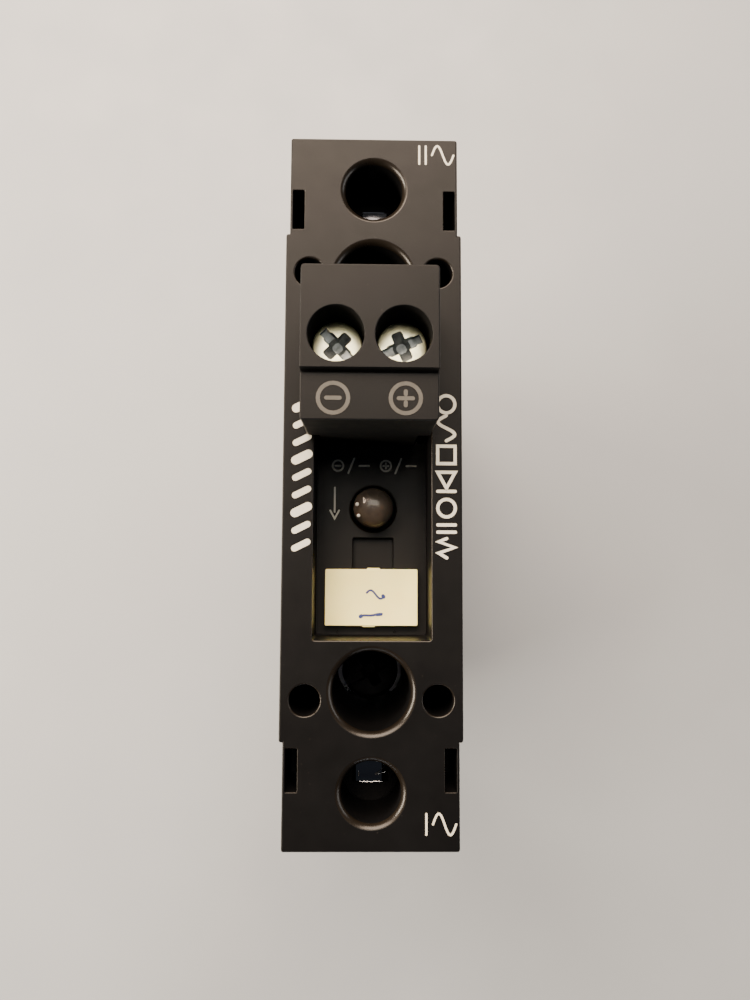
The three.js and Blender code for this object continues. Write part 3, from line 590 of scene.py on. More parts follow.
def wire_flare(side):
    """What to cut for the widened mouth of a wire's channel in an end face."""
    flare, depth, lip = 0.8, 1.4, 0.12
    end_y = side * SHELL[Y][1]
    rings = []
    for out, inwards in ((0, depth + 0.1), (0, depth), (flare, lip), (flare + lip, 0), (flare + lip, -1)):
        z, x = grown(WIRE_CHANNEL["z"], out), about(0, WIRE_CHANNEL["half_x"] + out)
        rings.append(rounded_ring(z, x, end_y - side * inwards, 0.4 + out))
    return lofted(rings, TO_ZXY)


def terminal_cutters(index, side):
    """What one end of the housing is cut with. Side is -1 at the -Y end and 1 at the +Y end."""
    cage, bar = spans(f"load_cage_{index}"), spans(f"load_busbar_{index}")
    screw_y = centre_of(f"load_screw_{index}")[1]
    out_y = abs(screw_y)
    leg_outer = max(abs(end) for end in bar[Y])
    leg_x = about(0, LEG_ROOM["half_x"])
    under = BACK_Z - 1

    def along(first, last):
        return tuple(sorted((side * first, side * last)))

    def bore(radius, mouth, floor_z, y):
        return flared_bore(radius, mouth, (floor_z, FACE_Z), 0, y, power=RIM_POWER)

    bar_x, bar_y = about(0, BAR_CHANNEL["half_x"]), along(CAVITY["half_y"] - 1, out_y)
    wire_x, wire_y = about(0, WIRE_CHANNEL["half_x"]), along(out_y, SHELL[Y][1] + 1)
    leg_y = along(LEG_ROOM["inner_y"], leg_outer + ROOM)
    return [
        bore(*LOAD_BORE, screw_y),
        bore(*END_BORE, side * END_BORE_Y),
        slab(grown(cage[X], ROOM), grown(cage[Y], ROOM), (under, CAGE_CHAMBER_TOP), 0.3, 0.1),
        slab(bar_x, bar_y, (under, BAR_CHANNEL["top_z"]), 0.1, 0.05),
        slab(wire_x, wire_y, WIRE_CHANNEL["z"], 0.3, 0.3),
        wire_flare(side),
        slab(leg_x, along(out_y, leg_outer), (LEG_ROOM["low_z"], LEG_ROOM["inner_top_z"]), 0.1, 0.05),
        slab(leg_x, leg_y, (LEG_ROOM["low_z"], bar[Z][1] + ROOM), 0.1, 0.05),
    ]


def housing_cutters():
    floor_z = RECESS["floor_z"]
    under = BACK_Z - 1
    recess_x, recess_y = footprint(RECESS)
    header, tray, label = (spans(node) for node in ("control_header", "insulating_tray", "side_label"))
    groove_x = about(TAG_GROOVE["x"], TAG_GROOVE["half_x"])
    tray_x, tray_y = grown(tray[X], CLEARANCE), grown(tray[Y], CLEARANCE)
    label_x = (label[X][0] - 0.25, label[X][1] + 1)
    cutters = [
        pocket(recess_x, recess_y, (floor_z, FACE_Z), 0.35, 0.18),
        slab(grown(recess_x, -0.1), grown(header[Y], CLEARANCE), (PASSAGE_LOW_Z, floor_z + 1), 0.2, 0.05),
        flared_bore(LAMP_HOLE_RADIUS, LAMP_HOLE_MOUTH, (PASSAGE_LOW_Z, floor_z), *centre_of("led_lens")),
        pocket(groove_x, TAG_GROOVE["y"], (floor_z - TAG_GROOVE["depth"], floor_z), 0.15, 0.1),
        slab(*footprint(CAVITY), (under, CAVITY["top_z"]), 0.5, 0.1),
        slab(tray_x, tray_y, (under, tray[Z][1] + CLEARANCE), 0.4, 0.05),
        slab(grown(label[Y], ROOM), grown(label[Z], ROOM), label_x, 0.5, 0.05, turn=TO_YZX),
    ]
    seat_z, shank = SCREW_TUBE["seat_z"], SCREW_TUBE["shank_radius"]
    for i in range(1, 5):
        place = centre_of(f"housing_screw_{i}")
        tube_z = (seat_z, FACE_Z)
        cutters.append(flared_bore(SCREW_TUBE["radius"], SCREW_TUBE["mouth"], tube_z, *place, 64, 6))
        cutters.append(turned([(shank, under), (shank, seat_z + CLEARANCE)], *place, 32))
    for sx in (-1, 1):
        for sy in (-1, 1):
            x = about(sx * COVER_SLOT["x"], COVER_SLOT["half_x"])
            y = about(sy * COVER_SLOT["y"], COVER_SLOT["half_y"])
            cutters.append(pocket(x, y, (FACE_Z - COVER_SLOT["depth"], FACE_Z), 0.12, 0.08))
    return cutters + terminal_cutters(1, -1) + terminal_cutters(2, 1)


def moulding_pips():
    """Two small pips at the low end of the recess floor."""
    floor_z = RECESS["floor_z"]
    profile = [(0.2, floor_z - 0.1), (0.19, floor_z + 0.05), (0.1, floor_z + 0.12)]
    return [turned(profile, x, -19.3, 16) for x in (-4.5, 3.1)]


def front_housing():
    """The shell. Its rims get a glossier plastic that is also lighter, browner and more reflective, a
    painted sheen, and its recess floor a slightly lighter, browner, more reflective and dustier plastic.
    """
    depth = (BACK_Z, FACE_Z)
    body = slab(SHELL[X], about(0, BODY_HALF_Y), depth, 0.3, FACE_EDGE, 4)
    shell = joined(body, slab(about(0, END_HALF_X), SHELL[Y], depth, 0.3, FACE_EDGE, 4))
    shell = joined(cut(shell, *housing_cutters()), *moulding_pips())
    stands_for(shell, "front_housing", HOUSING_PLASTIC)
    shell.data.materials.append(RIM_GLOSS_SHEEN_PLASTIC)
    shell.data.materials.append(RECESS_PLASTIC)
    lens_x, lens_y = centre_of("led_lens")
    for face in shell.data.polygons:
        x, y, z = face.center / MM
        tilted = 0.05 < abs(face.normal.z) < 0.985
        on_face = abs(x) < END_HALF_X - 0.5 and abs(y) < SHELL[Y][1] - 0.5 and z > FACE_Z - RIM_DEPTH
        by_lamp = math.hypot(x - lens_x, y - lens_y) < LAMP_HOLE_MOUTH + 0.05
        by_lamp = by_lamp and z > RECESS["floor_z"] - RIM_DEPTH
        in_recess = abs(x) < RECESS["half_x"] and abs(y) < RECESS["half_y"]
        # The rims round the face's holes and the lamp hole take the rim plastic, which paints a sheen on
        # them.
        if tilted and (on_face or by_lamp):
            face.material_index = 1
        elif in_recess and z < RECESS["floor_z"] + 0.2 and face.normal.z > 0.98:
            face.material_index = 2


# ---- screws

# For each kind of screw: the head's radius, height and rounding, how far the shank runs into the head,
# the thread's radius, depth and pitch, and the drive's slot length, slot width, cross length and depth.
PLUG_SCREW = ((3.0, 2.1, 0.2), 0.4, (1.5, 0.26, 0.5), (5.0, 1.1, 3.8, 1.1))
LOAD_SCREW = ((4.1, 2.8, 0.7), 0.5, (2.5, 0.4, 0.8), (8.4, 1.2, 4.8, 2.0))
HOUSING_SCREW = ((1.65, 2.0, 0.5), 0.4, (1.1, 0.25, 0.9), (1.4, 0.42, 2.0, 1.0))


def drive_cutters(top, slot_length, slot_width, cross_length, depth):
    """A plain slot across a head, and a tapered cross in its middle."""
    slot_z = (top - depth * 0.55, top + 1)
    cutters = [slab(about(0, slot_length / 2), about(0, slot_width / 2), slot_z, 0.05, 0.04)]
    for degrees in (0, 90):
        rings = []
        for share, z in ((0.3, top - depth), (0.62, top - depth * 0.45), (1, top + 0.02), (1, top + 1)):
            half = cross_length / 2 * share
            width = slot_width * (0.32 + 0.33 * share)
            rings.append(rounded_ring(about(0, half), about(0, width), z, width * 0.5, 3))
        cutters.append(turned_about(lofted(rings), 0, 0, degrees))
    return cutters


def head_profile(radius, under, top, rim):
    """A cheese head with a rounded rim and a slightly crowned top."""
    side = [(radius - 0.08, under), (radius, under + 0.08)]
    angles = [math.radians(degrees) for degrees in (0, 22, 45, 68, 90)]
    edge = [(radius - rim * (1 - math.cos(a)), top - rim + rim * math.sin(a) - 0.05) for a in angles]
    return side + edge + [(radius * 0.45, top - 0.01), (0.02, top)]


def screw(node, kind, degrees, material, drive_shade_material=None):
    """A screw of one of the kinds above, turned about its own axis."""
    box = spans(node)
    low, top = box[Z]
    x, y = centre_of(node)
    (head_radius, head_height, rim), overlap, thread, drive = kind
    under = top - head_height
    head = turned(head_profile(head_radius, under, top, rim), segments=72)
    made = joined(head, threaded_rod(*thread, (low, under + overlap)))
    made = stands_for(turned_about(cut(made, *drive_cutters(top, *drive)), x, y, degrees), node, material)
    # The drive recess's faces take the darker material, which paints shade in it.
    if drive_shade_material:
        made.data.materials.append(drive_shade_material)
        shank_radius, drive_depth = thread[0], drive[-1]
        reach = shank_radius + (size(box[X]) / 2 - shank_radius) * 0.8
        for face in made.data.polygons:
            centre = face.center / MM
            in_drive = top - drive_depth - 0.1 < centre.z < top - 0.06
            if in_drive and math.hypot(centre.x - x, centre.y - y) < reach:
                face.material_index = 1


def foot_screw(index):
    """A slotted screw whose head faces down, towards the rail."""
    node = f"foot_screw_{index}"
    low, top = spans(node)[Z]
    radius = 3.3
    head = [(radius - 0.7, low), (radius - 0.35, low + 0.12), (radius, low + 0.5)]
    head += [(radius, low + 1.9), (radius - 0.08, low + 2.1)]
    made = joined(turned(head, segments=72), threaded_rod(1.6, 0.3, 0.8, (low + 1.7, top)))
    made = cut(made, slab(about(0, 4), about(0, 0.45), (low - 1, low + 0.9), 0.04, 0.04))
    stands_for(turned_about(made, 0, centre_of(node)[1], 15 + 50 * index), node, BLUE_ZINC)


def screws():
    for i, degrees in ((1, -46), (2, 24)):
        screw(f"plug_screw_{i}", PLUG_SCREW, degrees, ZINC, SHADED_DRIVE_ZINC)
    # The load screws take the near-black steel: painted shade.
    for i, degrees in ((1, 28), (2, -62)):
        screw(f"load_screw_{i}", LOAD_SCREW, degrees, SHADE_BLACK_STEEL)
    for i in range(1, 5):
        screw(f"housing_screw_{i}", HOUSING_SCREW, 20 * i, BLUE_ZINC)
    for i in (1, 2):
        foot_screw(i)


# ---- control plug

PLUG = spans("plug_housing")
PLUG_BORE_RADIUS = 3.2
PIN_Y = centre_of("header_pin_1")[1]
LABEL_STEP = {"z": 108.6, "y": 11.5}
GROOVE = {"y": (11.05, 11.5), "depth": 0.6}
SHOULDER_Z = 90.4
YOKE_ROOM = {"half_x": 2.95, "half_y": 2.9, "z": (94.8, 102.4)}
PLUG_ENTRY = {"half_x": 2.5, "low_z": 99.0}
CONTACT_LOW_Z = 101.0
SOCKET = {"half": 1.9, "leg_low_z": 89.0, "low_z": 80.0}


def pole_cutters(index):
    """What one pole is cut with: a bore, the yoke's room, a wire entry and the contact's passage."""
    x, y = centre_of(f"plug_screw_{index}")
    top = PLUG[Z][1]
    end = PLUG[Y][1]
    room_top = YOKE_ROOM["z"][1]
    room_x = about(x, YOKE_ROOM["half_x"])
    entry_x, entry_z = about(x, PLUG_ENTRY["half_x"]), (PLUG_ENTRY["low_z"], room_top)
    socket_x, socket_y = about(x, SOCKET["half"]), about(PIN_Y, SOCKET["half"])
    flare = []
    for out, inwards in ((0, 1.1), (0, 1.0), (0.42, 0.1), (0.5, 0), (0.5, -1)):
        flare.append(rounded_ring(grown(entry_z, out * 0.9), grown(entry_x, out), end - inwards, 0.25))
    return [
        flared_bore(PLUG_BORE_RADIUS, PLUG_BORE_RADIUS + 0.12, (room_top - 0.4, top), x, y),
        slab(room_x, about(y, YOKE_ROOM["half_y"]), YOKE_ROOM["z"], 0.2, 0.05),
        slab(entry_x, (y, end + 1), entry_z, 0.2, 0.05),
        lofted(flare, TO_ZXY),
        slab(room_x, (socket_y[0], y), (CONTACT_LOW_Z, room_top), 0.1, 0.05),
        slab(socket_x, (socket_y[0], PIN_Y - 0.5), (SOCKET["leg_low_z"], room_top), 0.1, 0.05),
        slab(socket_x, socket_y, (SOCKET["low_z"], SHOULDER_Z), 0.15, 0.05),
    ]


def plug_housing():
    """The plug's moulding: a terminal block, a lower label step, a shoulder and a nose."""
    under = FACE_Z + ROOM
    above = PLUG[Z][1] + 2.4
    low_y, step_y, step_z = PLUG[Y][0], LABEL_STEP["y"], LABEL_STEP["z"]
    wide = grown(PLUG[X], 3)
    plug_x = middle(PLUG[X])
    block = slab(PLUG[X], PLUG[Y], (under, PLUG[Z][1]), 0.45, 0.16, 4)
    block = cut(block, pocket(wide, (low_y - 3, step_y), (step_z - 3, above), 0.05, 0.05))
    shoulder_x, shoulder_y = about(plug_x, 6.4), (low_y, 18.2)
    nose_x, nose_y = about(plug_x, 5.7), (7.7, 16.3)
    parts = [
        slab(PLUG[X], (low_y, step_y + 0.5), (under, step_z), 0.45, 0.16, 4),
        slab(shoulder_x, shoulder_y, (SHOULDER_Z, under + 1), 0.4, 0.15),
        slab(nose_x, nose_y, (PLUG[Z][0], SHOULDER_Z + 0.6), 0.4, 0.3),
    ]
    groove = slab(wide, GROOVE["y"], (step_z - GROOVE["depth"], above), 0.05, 0.05)
    made = cut(joined(block, *parts), groove, *pole_cutters(1), *pole_cutters(2))
    stands_for(made, "plug_housing", HOUSING_PLASTIC)
    made.data.materials.append(SHADE_DULL_PLASTIC)
    bores = [centre_of(f"plug_screw_{i}") for i in (1, 2)]
    for face in made.data.polygons:
        centre = face.center / MM
        from_axis = min(math.hypot(centre.x - x, centre.y - y) for x, y in bores)
        in_bore = from_axis < PLUG_BORE_RADIUS + 0.02 and centre.z < PLUG[Z][1] - 0.15
        # Bore walls and the faces towards -Y take the duller plastic, which paints shade on them.
        if in_bore or face.normal.y < -0.9:
            face.material_index = 1


# ---- lamp and marker tag

def dome(radius, shoulder, top):
    """The (radius, z) points of a dome, flatter in its middle than a ball and rounder at its rim."""
    power = 2 / 2.6
    rise = top - shoulder
    points = [(radius * a ** power, shoulder + rise * b ** power) for a, b in quarter(16)[:-1]]
    return [*points, (0.04, top)]


def bead(x, y, z, radius):
    """A small ball in a few rings."""
    slope = radius * 0.7
    lower = [(0.02, z - radius), (slope, z - slope)]
    upper = [(slope, z + slope), (0.02, z + radius)]
    return turned([*lower, (radius, z), *upper], x, y, 16)


def lamp():
    """The clear dome, with the lamp's core, two white beads that paint glints of light, and two leads
    inside it.
    """
    box = spans("led_lens")
    low, top = box[Z]
    x, y = centre_of("led_lens")
    slot = slot_of("led_lens")
    radius = size(box[X]) / 2
    shoulder = top - 0.72 * radius
    lens = turned([(radius - 0.1, low), (radius, low + 0.1), *dome(radius, shoulder, top)], x, y, 96)
    stands_for(lens, "led_lens", clear_lens())

    core_radius = radius - 0.32
    core_shoulder = shoulder - 0.5
    core = turned([(core_radius, low + 0.4), *dome(core_radius, core_shoulder, top - 0.45)], x, y, 72)
    notch = [(x + 0.1, y + 0.2), (x + 1.1, y + 3.2), (x - 1.5, y + 3.2)]
    core = cut(core, extruded(notch, (core_shoulder - 2.0, top + 1)))
    rides_with(core, "led_core", "led_lens", slot, lamp_core_surface())

    # Two white beads by the dome's left rim are painted glints of light on the lens.
    bead_z = shoulder + (top - shoulder) * 0.69
    glint_beads = [bead(x - 2.12, y + 0.4, bead_z, 0.26), bead(x - 1.93, y - 1.08, bead_z, 0.24)]
    rides_with(grouped(glint_beads), "led_painted_glints", "led_lens", slot, WHITE_PACKAGE)

    for name, span in (("led_anvil", (x - 1.5, x + 0.35)), ("led_post", (x + 0.75, x + 1.5))):
        lead = slab(span, about(y, 0.25), (low - 2.4, low + 0.9), 0.08, 0.05)
        rides_with(lead, name, "led_lens", "tinned_copper", TIN)


def marker_tag():
    """The tag's plate with a nib at each end, and under it a foot with two hooks in the groove."""
    x, y, (low, top) = spans("marker_tag")
    middle_x, middle_y = TAG_GROOVE["x"], middle(y)
    plate_low = RECESS["floor_z"] + CLEARANCE
    foot_z, nib_z = (low, plate_low + 0.3), (plate_low + 0.15, top - 0.12)
    parts = [slab(about(middle_x, 2.3), about(middle_y, 3.2), foot_z, 0.2, 0.1)]
    for nib_x, nib_y in ((0.27, y[1]), (-0.35, y[0])):
        parts.append(slab(about(nib_x, 0.85), about(nib_y, 0.16), nib_z, 0.12, 0.06))
    for hook_y in (middle_y - 2.4, middle_y + 2.4):
        parts.append(slab(about(middle_x, 2.42), about(hook_y, 0.3), (low + 0.1, low + 0.5), 0.1, 0.08))
    stands_for(joined(slab(x, y, (plate_low, top), 0.2, 0.1, 4), *parts), "marker_tag", tag_plastic())


# ---- printed marks

INK_THICKNESS = 0.03
INK_LIFT = 0.005
CROSSING_LIFT = 0.002  # a stroke that crosses another lies this much higher


def stroke_edges(path, width, closed):
    """The left and right edges of a stroke along a path."""
    last = len(path) - 1
    left, right = [], []
    for i, point in enumerate(path):
        ways = []
        if i or closed:
            ways.append((point - path[i - 1]).normalized())
        if i < last or closed:
            ways.append((path[(i + 1) % len(path)] - point).normalized())
        way = sum(ways, Vector((0, 0, 0))).normalized()
        normal = Vector((-way.y, way.x, 0))
        spread = 1 / max(0.45, abs(normal.dot(Vector((-ways[0].y, ways[0].x, 0)))))
        left.append(point + normal * width / 2 * spread)
        right.append(point - normal * width / 2 * spread)
    return left, right


def round_end(end, inner, width):
    """Points round the end of a stroke. Inner is the path's point before the end."""
    out = (end - inner).normalized()
    side = Vector((-out.y, out.x, 0))
    return [end + a * side + b * out for a, b in arc((0, 0), width / 2, 0, 180, 6)[1:-1]]


def ribbon(points, width, z, closed=False):
    """A flat stroke of ink along (x, y) points, with round ends."""
    path = [Vector((*p, 0)) for p in points]
    shape = bmesh.new()

    def raised(edge):
        """An edge's vertices at the foot and at the top of the ink."""
        heights = (z, z + INK_THICKNESS)
        return [[shape.verts.new((p.x * MM, p.y * MM, height * MM)) for p in edge] for height in heights]

    left, right = (raised(edge) for edge in stroke_edges(path, width, closed))
    corners = (left[0], left[1], right[1], right[0])
    for i in range(len(path) if closed else len(path) - 1):
        j = (i + 1) % len(path)
        for k in range(4):
            here, after = corners[k], corners[(k + 1) % 4]
            shape.faces.new((here[i], after[i], after[j], here[j]))
    ends = () if closed else ((0, 1, right, left), (-1, -2, left, right))
    for end, inner, first, last in ends:
        caps = raised(round_end(path[end], path[inner], width))
        lower, upper = ([first[level][end], *caps[level], last[level][end]] for level in (0, 1))
        shape.faces.new(upper)
        shape.faces.new(list(reversed(lower)))
        for k in range(len(lower) - 1):
            shape.faces.new((lower[k], lower[k + 1], upper[k + 1], upper[k]))
    bmesh.ops.recalc_face_normals(shape, faces=shape.faces)
    return solid_from(shape)


class Pen:
    """Draws strokes of ink of one width at one height, and keeps them."""

    def __init__(self, width, z):
        self.width = width
        self.z = z
        self.strokes = []

    def line(self, *points, width=None, lift=0.0, closed=False):
        """A stroke along points. A width of its own takes the place of the pen's."""
        self.strokes.append(ribbon(points, width or self.width, self.z + lift, closed))

    def bar(self, x, y, half, lift=0.0):
        self.line((x - half, y), (x + half, y), lift=lift)

    def ring(self, x, y, radius):
        self.line(*arc((x, y), radius, 0, 345, 23), closed=True)

    def wave(self, x, y, length, height, upright=False):
        """One period of a sine wave."""
        points = []
        for i in range(25):
            along, across = (i / 24 - 0.5) * length, height / 2 * math.sin(2 * math.pi * i / 24)
            points.append((x + across, y + along) if upright else (x + along, y + across))
        self.line(*points)

    def ringed_signs(self, minus_x, plus_x, y, radius, dash, arm):
        """A minus and a plus, each in a ring."""
        self.ring(minus_x, y, radius)
        self.bar(minus_x, y, dash)
        self.ring(plus_x, y, radius)
        self.bar(plus_x, y, arm)
        for side in (-1, 1):
            self.line((plus_x, y + side * self.width), (plus_x, y + side * arm), lift=CROSSING_LIFT)

    def finish(self, name, node, ink):
        """Finishes the strokes as one piece that moves with a CAD node's body."""
        rides_with(grouped(self.strokes), name, node, "marker", ink)


def face_marks():
    """On the face: a column of circuit signs, a row of slanted bars, and signs at both ends."""
    z = FACE_Z + INK_LIFT
    x, half = 9.26, 1.1
    low, high = x - half, x + half
    pen = Pen(0.4, z)
    pen.ring(x, 9.85, half)
    pen.wave(x, 6.8, 3.2, 2.1, upright=True)
    pen.line((low, 4.5), (high, 4.5), (high, 2.3), (low, 2.3), closed=True)
    pen.line((low, 1.2), (high, 1.2), (x, -0.8), closed=True)
    pen.ring(x, -3.3, half)
    for y in (-1.2, -5.4, -6.3):
        pen.bar(x, y, half)
    pen.line((x, -7.1), (x - 1, -7.5), (x + 1, -8.2), (x - 1, -8.9), (x, -9.5))
    pen.finish("side_symbols", "front_housing", WHITE_INK)

    pen = Pen(0.8, z)
    for i in range(9):
        y = 9.6 - i * 2.2
        every_third = 1.1 if i % 3 == 0 else None
        pen.line((-9.65, y - 0.4), (-8.05, y + 0.4), width=every_third)
    pen.finish("side_bars", "front_housing", WHITE_INK)

    pen = Pen(0.26, z)
    for y, count in ((42.7, 2), (-41.5, 1)):
        pen.wave(8.9, y, 2.8, 2.5)
        for i in range(count):
            x = 6.7 - 0.85 * i
            pen.line((x, y - 1.2), (x, y + 1.2))
    pen.finish("end_symbols", "front_housing", WHITE_INK)


def recess_marks():
    """On the recess floor: the signs of the plug's two poles, and an arrow beside the lamp."""
    pen = Pen(0.25, RECESS["floor_z"] + INK_LIFT)
    y = 3.0
    pen.ringed_signs(-4.6, 1.9, y, 0.72, 0.35, 0.36)
    for x in (-2.8, 3.6):
        pen.line((x - 0.4, y - 1), (x + 0.4, y + 1))
    for start, end in ((-1.7, -0.4), (4.7, 6.0)):
        pen.line((start, y), (end, y))
    x, width = -5.0, 0.24
    pen.line((x, 0.0), (x, -3.3), width=width)
    pen.line((x - 0.6, -3.1), (x, -4.2), (x + 0.6, -3.1), width=width)
    pen.finish("recess_symbols", "front_housing", WHITE_INK)


def plug_marks():
    pen = Pen(0.46, LABEL_STEP["z"] + INK_LIFT)
    pen.ringed_signs(-4.6, 3.55, 8.2, 1.7, 0.75, 0.8)
    pen.finish("plug_symbols", "plug_housing", GREY_INK)


def tag_marks():
    """A pen's small wave and dash, with blots where the pen rested."""
    pen = Pen(0.26, spans("marker_tag")[Z][1] + 0.002)
    shares = [i / 14 for i in range(15)]
    pen.line(*[(-0.6 + 2.2 * t, -14.3 + 0.55 * math.sin(5.2 * t + 0.4)) for t in shares])
    shares = [i / 10 for i in range(11)]
    pen.line(*[(-1.5 + 2.9 * t, -17.15 + 0.28 * t + 0.05 * math.sin(9 * t)) for t in shares], width=0.3)
    pen.line((1.55, -14.5), (1.62, -14.62), width=0.5, lift=CROSSING_LIFT)
    pen.line((-1.42, -17.2), (-1.3, -17.12), width=0.5, lift=CROSSING_LIFT)
    pen.line((0.75, -16.94), (1.3, -16.9), width=0.4, lift=CROSSING_LIFT)
    pen.finish("pen_marks", "marker_tag", PEN_INK)


# ---- heat sink and latch spring

FIN = {"count": 7, "thickness": 1.3, "root": 0.35, "tip_x": 10.9}
SPINE_HALF_X = 3.0
WEB = {"thickness": 4.0, "half_x": 10.0}
FLANGE = {"thickness": 6.0, "half_x": 11.0}
CORNER = 0.3


def spine_root(z, way):
    """A fillet where a face meets the spine. Way is 1 where a gap begins and -1 where it ends."""
    centre = (z + way * FIN["root"], SPINE_HALF_X + FIN["root"])
    start = 180 if way > 0 else 270
    return arc(centre, FIN["root"], start, start + 90, 3)


def fin_outline(z):
    """One fin's (z, x) points from the spine out to the tip and back, with ripples on both faces."""
    thickness = FIN["thickness"]
    half = thickness / 2
    ripple = []
    for k in (1, 2, 3, 4):
        x = SPINE_HALF_X + 0.6 + k * 1.5
        ripple += [(0, x - 0.25), (0.12, x), (0, x + 0.25)]
    points = spine_root(z, -1) + [(z + out, x) for out, x in ripple]
    points += arc((z + half, FIN["tip_x"] - half), half, 180, 0, 6)
    points += [(z + thickness - out, x) for out, x in reversed(ripple)]
    return points + spine_root(z + thickness, 1)


def sink_outline(low, high):
    """Half of the extrusion's section as (z, x) points: a web, a spine with fins, and a flange."""
    web_top, flange_back = low + WEB["thickness"], high - FLANGE["thickness"]
    gap = (flange_back - web_top - FIN["count"] * FIN["thickness"]) / (FIN["count"] + 1)
    web_x = WEB["half_x"] - CORNER
    points = [(low, 0), (low, web_x)] + arc((low + CORNER, web_x), CORNER, 180, 90, 3)[1:]
    points += arc((web_top - CORNER, web_x), CORNER, 90, 0, 3) + spine_root(web_top, 1)
    for i in range(FIN["count"]):
        points += fin_outline(web_top + gap + i * (gap + FIN["thickness"]))
    back = 0.4
    points += spine_root(flange_back, -1)
    points += arc((flange_back + back, FLANGE["half_x"] - back), back, 180, 90, 3)
    return points + arc((high - CORNER, FLANGE["half_x"] - CORNER), CORNER, 90, 0, 3) + [(high, 0)]


def heat_sink():
    box = spans("heat_sink")
    low, high = box[Z]
    half = sink_outline(low, high)
    mirrored = [(z, -x) for z, x in reversed(half[1:-1])]
    radius, mouth, floor_z = 1.4, 1.7, 50.2
    profile = [(radius, floor_z), (radius, high - 0.3), (mouth, high), (mouth, high + 1)]
    foot_radius, foot_depth = 1.9, 8
    foot_profile = [(foot_radius, low - 1), (foot_radius, low + foot_depth)]
    holes = [turned(profile, *centre_of(f"housing_screw_{i}"), 32) for i in range(1, 5)]
    holes += [turned(foot_profile, 0, centre_of(f"foot_screw_{i}")[1], 32) for i in (1, 2)]
    made = cut(extruded(half + mirrored, box[Y], TO_ZXY), *holes)
    stands_for(bevelled(made, 0.08, 1), "heat_sink", anodised())


def latch_spring():
    """The latch's coil spring, its end turns closed."""
    x, y, z = spans("latch_spring")
    wire = 0.3
    coil = size(x) / 2 - wire
    low, high = grown(y, -wire)
    centre_z = middle(z)
    turns, closed, per_turn = 8, 1, 28
    closed_rise = 2 * wire
    open_rise = (high - low - 2 * closed_rise) / (turns - 2 * closed)
    path = []
    for i in range(turns * per_turn + 1):
        turn = i / per_turn
        if turn < closed:
            height = low + closed_rise * turn
        elif turn > turns - closed:
            height = high - closed_rise * (turns - turn)
        else:
            height = low + closed_rise + open_rise * (turn - closed)
        angle = 2 * math.pi * turn
        path.append((coil * math.cos(angle), height, centre_z + coil * math.sin(angle)))
    spring = stands_for(swept_tube(path, wire, 12), "latch_spring", SPRING_STEEL)
    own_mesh(spring)


# ---- foot, latch and everything inside

# CAD nodes whose own shape is kept, with their material and the width of their eased edges.
EASED_NODES = (
    (GREY_PLASTIC, 0.15, "insulating_tray"),
    (soft_pad(), 0.12, "thermal_pad"),
    (COPPER, 0.15, "base_plate"),
    (fired_ceramic(), 0.08, "ceramic_substrate"),
    (SILICON, 0.03, "scr_chip_1", "scr_chip_2"),
    (TIN, 0.08, "gate_pin_1", "gate_pin_2"),
    # The busbars take the near-black busbar material: painted shade.
    (SHADED_BUSBAR, 0.12, "load_busbar_1", "load_busbar_2"),
    (BLUE_ZINC, 0.18, "load_cage_1", "load_cage_2"),
    (solder_resist(), 0.06, "control_board"),
    (COMPONENT_PLASTIC, 0.08, "optocoupler"),
    (COMPONENT_PLASTIC, 0.06, "input_resistor"),
    (VARISTOR_COAT, 0.4, "varistor"),
    (WHITE_PACKAGE, 0.08, "status_led"),
    (COMPONENT_PLASTIC, 0.1, "control_header"),
    (TIN, 0.12, "header_pin_1", "header_pin_2"),
    (BRASS, 0.08, "plug_contact_1", "plug_contact_2"),
    (BLUE_ZINC, 0.1, "plug_yoke_1", "plug_yoke_2"),
)
TONGUE = {"x": 0.2, "half_x": 1.8}


def eased_nodes():
    stands_for(from_node("rail_foot", 0.25, 3), "rail_foot", FOOT_PLASTIC)
    stands_for(from_node("rail_latch", 0.22, 3), "rail_latch", GREY_PLASTIC)
    for material, width, *nodes in EASED_NODES:
        for node in nodes:
            stands_for(from_node(node, width, 2), node, material)


def tongue_burrs():
    """Bright rubbed burrs on the busbar tongues, where a blade reaches down the end holes."""
    left, right = about(TONGUE["x"], TONGUE["half_x"])
    for index, side in ((1, -1), (2, 1)):
        bar = spans(f"load_busbar_{index}")
        z = bar[Z][1] - 0.01
        end_y = max(abs(v) for v in bar[Y])
        lines = [
            [(left + 0.15, end_y - 0.03), (left + 1.6, end_y), (right - 0.45, end_y - 0.03)],
            [(left + 0.06, end_y - 0.7), (left + 0.06, end_y - 1.35)],
            [(right - 1.4, end_y - 0.95), (right - 0.5, end_y - 1.6), (right + 0.05, end_y - 2.2)],
            [(right - 1.2, end_y - 0.9), (right + 0.02, end_y - 1.25)],
        ]
        burrs = [swept_tube([(x, side * y, z) for x, y in line], 0.07, 8) for line in lines]
        rides_with(grouped(burrs), f"tongue_burrs_{index}", f"load_busbar_{index}", "tinned_copper", TIN)


def label_table(pen, y, z, split):
    """The drawing's frame over the whole label, with an empty table of four rows in its lower part."""
    thin = 0.18
    pen.line((y[0], z[0]), (y[1], z[0]), (y[1], z[1]), (y[0], z[1]), closed=True)
    pen.line((y[0], split), (y[1], split), lift=0.001)
    for row in (1, 2, 3):
        height = z[0] + (split - z[0]) * row / 4
        pen.line((y[0], height), (y[1], height), width=thin, lift=0.001)
    for share in (0.3, 0.65):
        column = y[0] + size(y) * share
        pen.line((column, z[0]), (column, split), width=thin, lift=0.002)


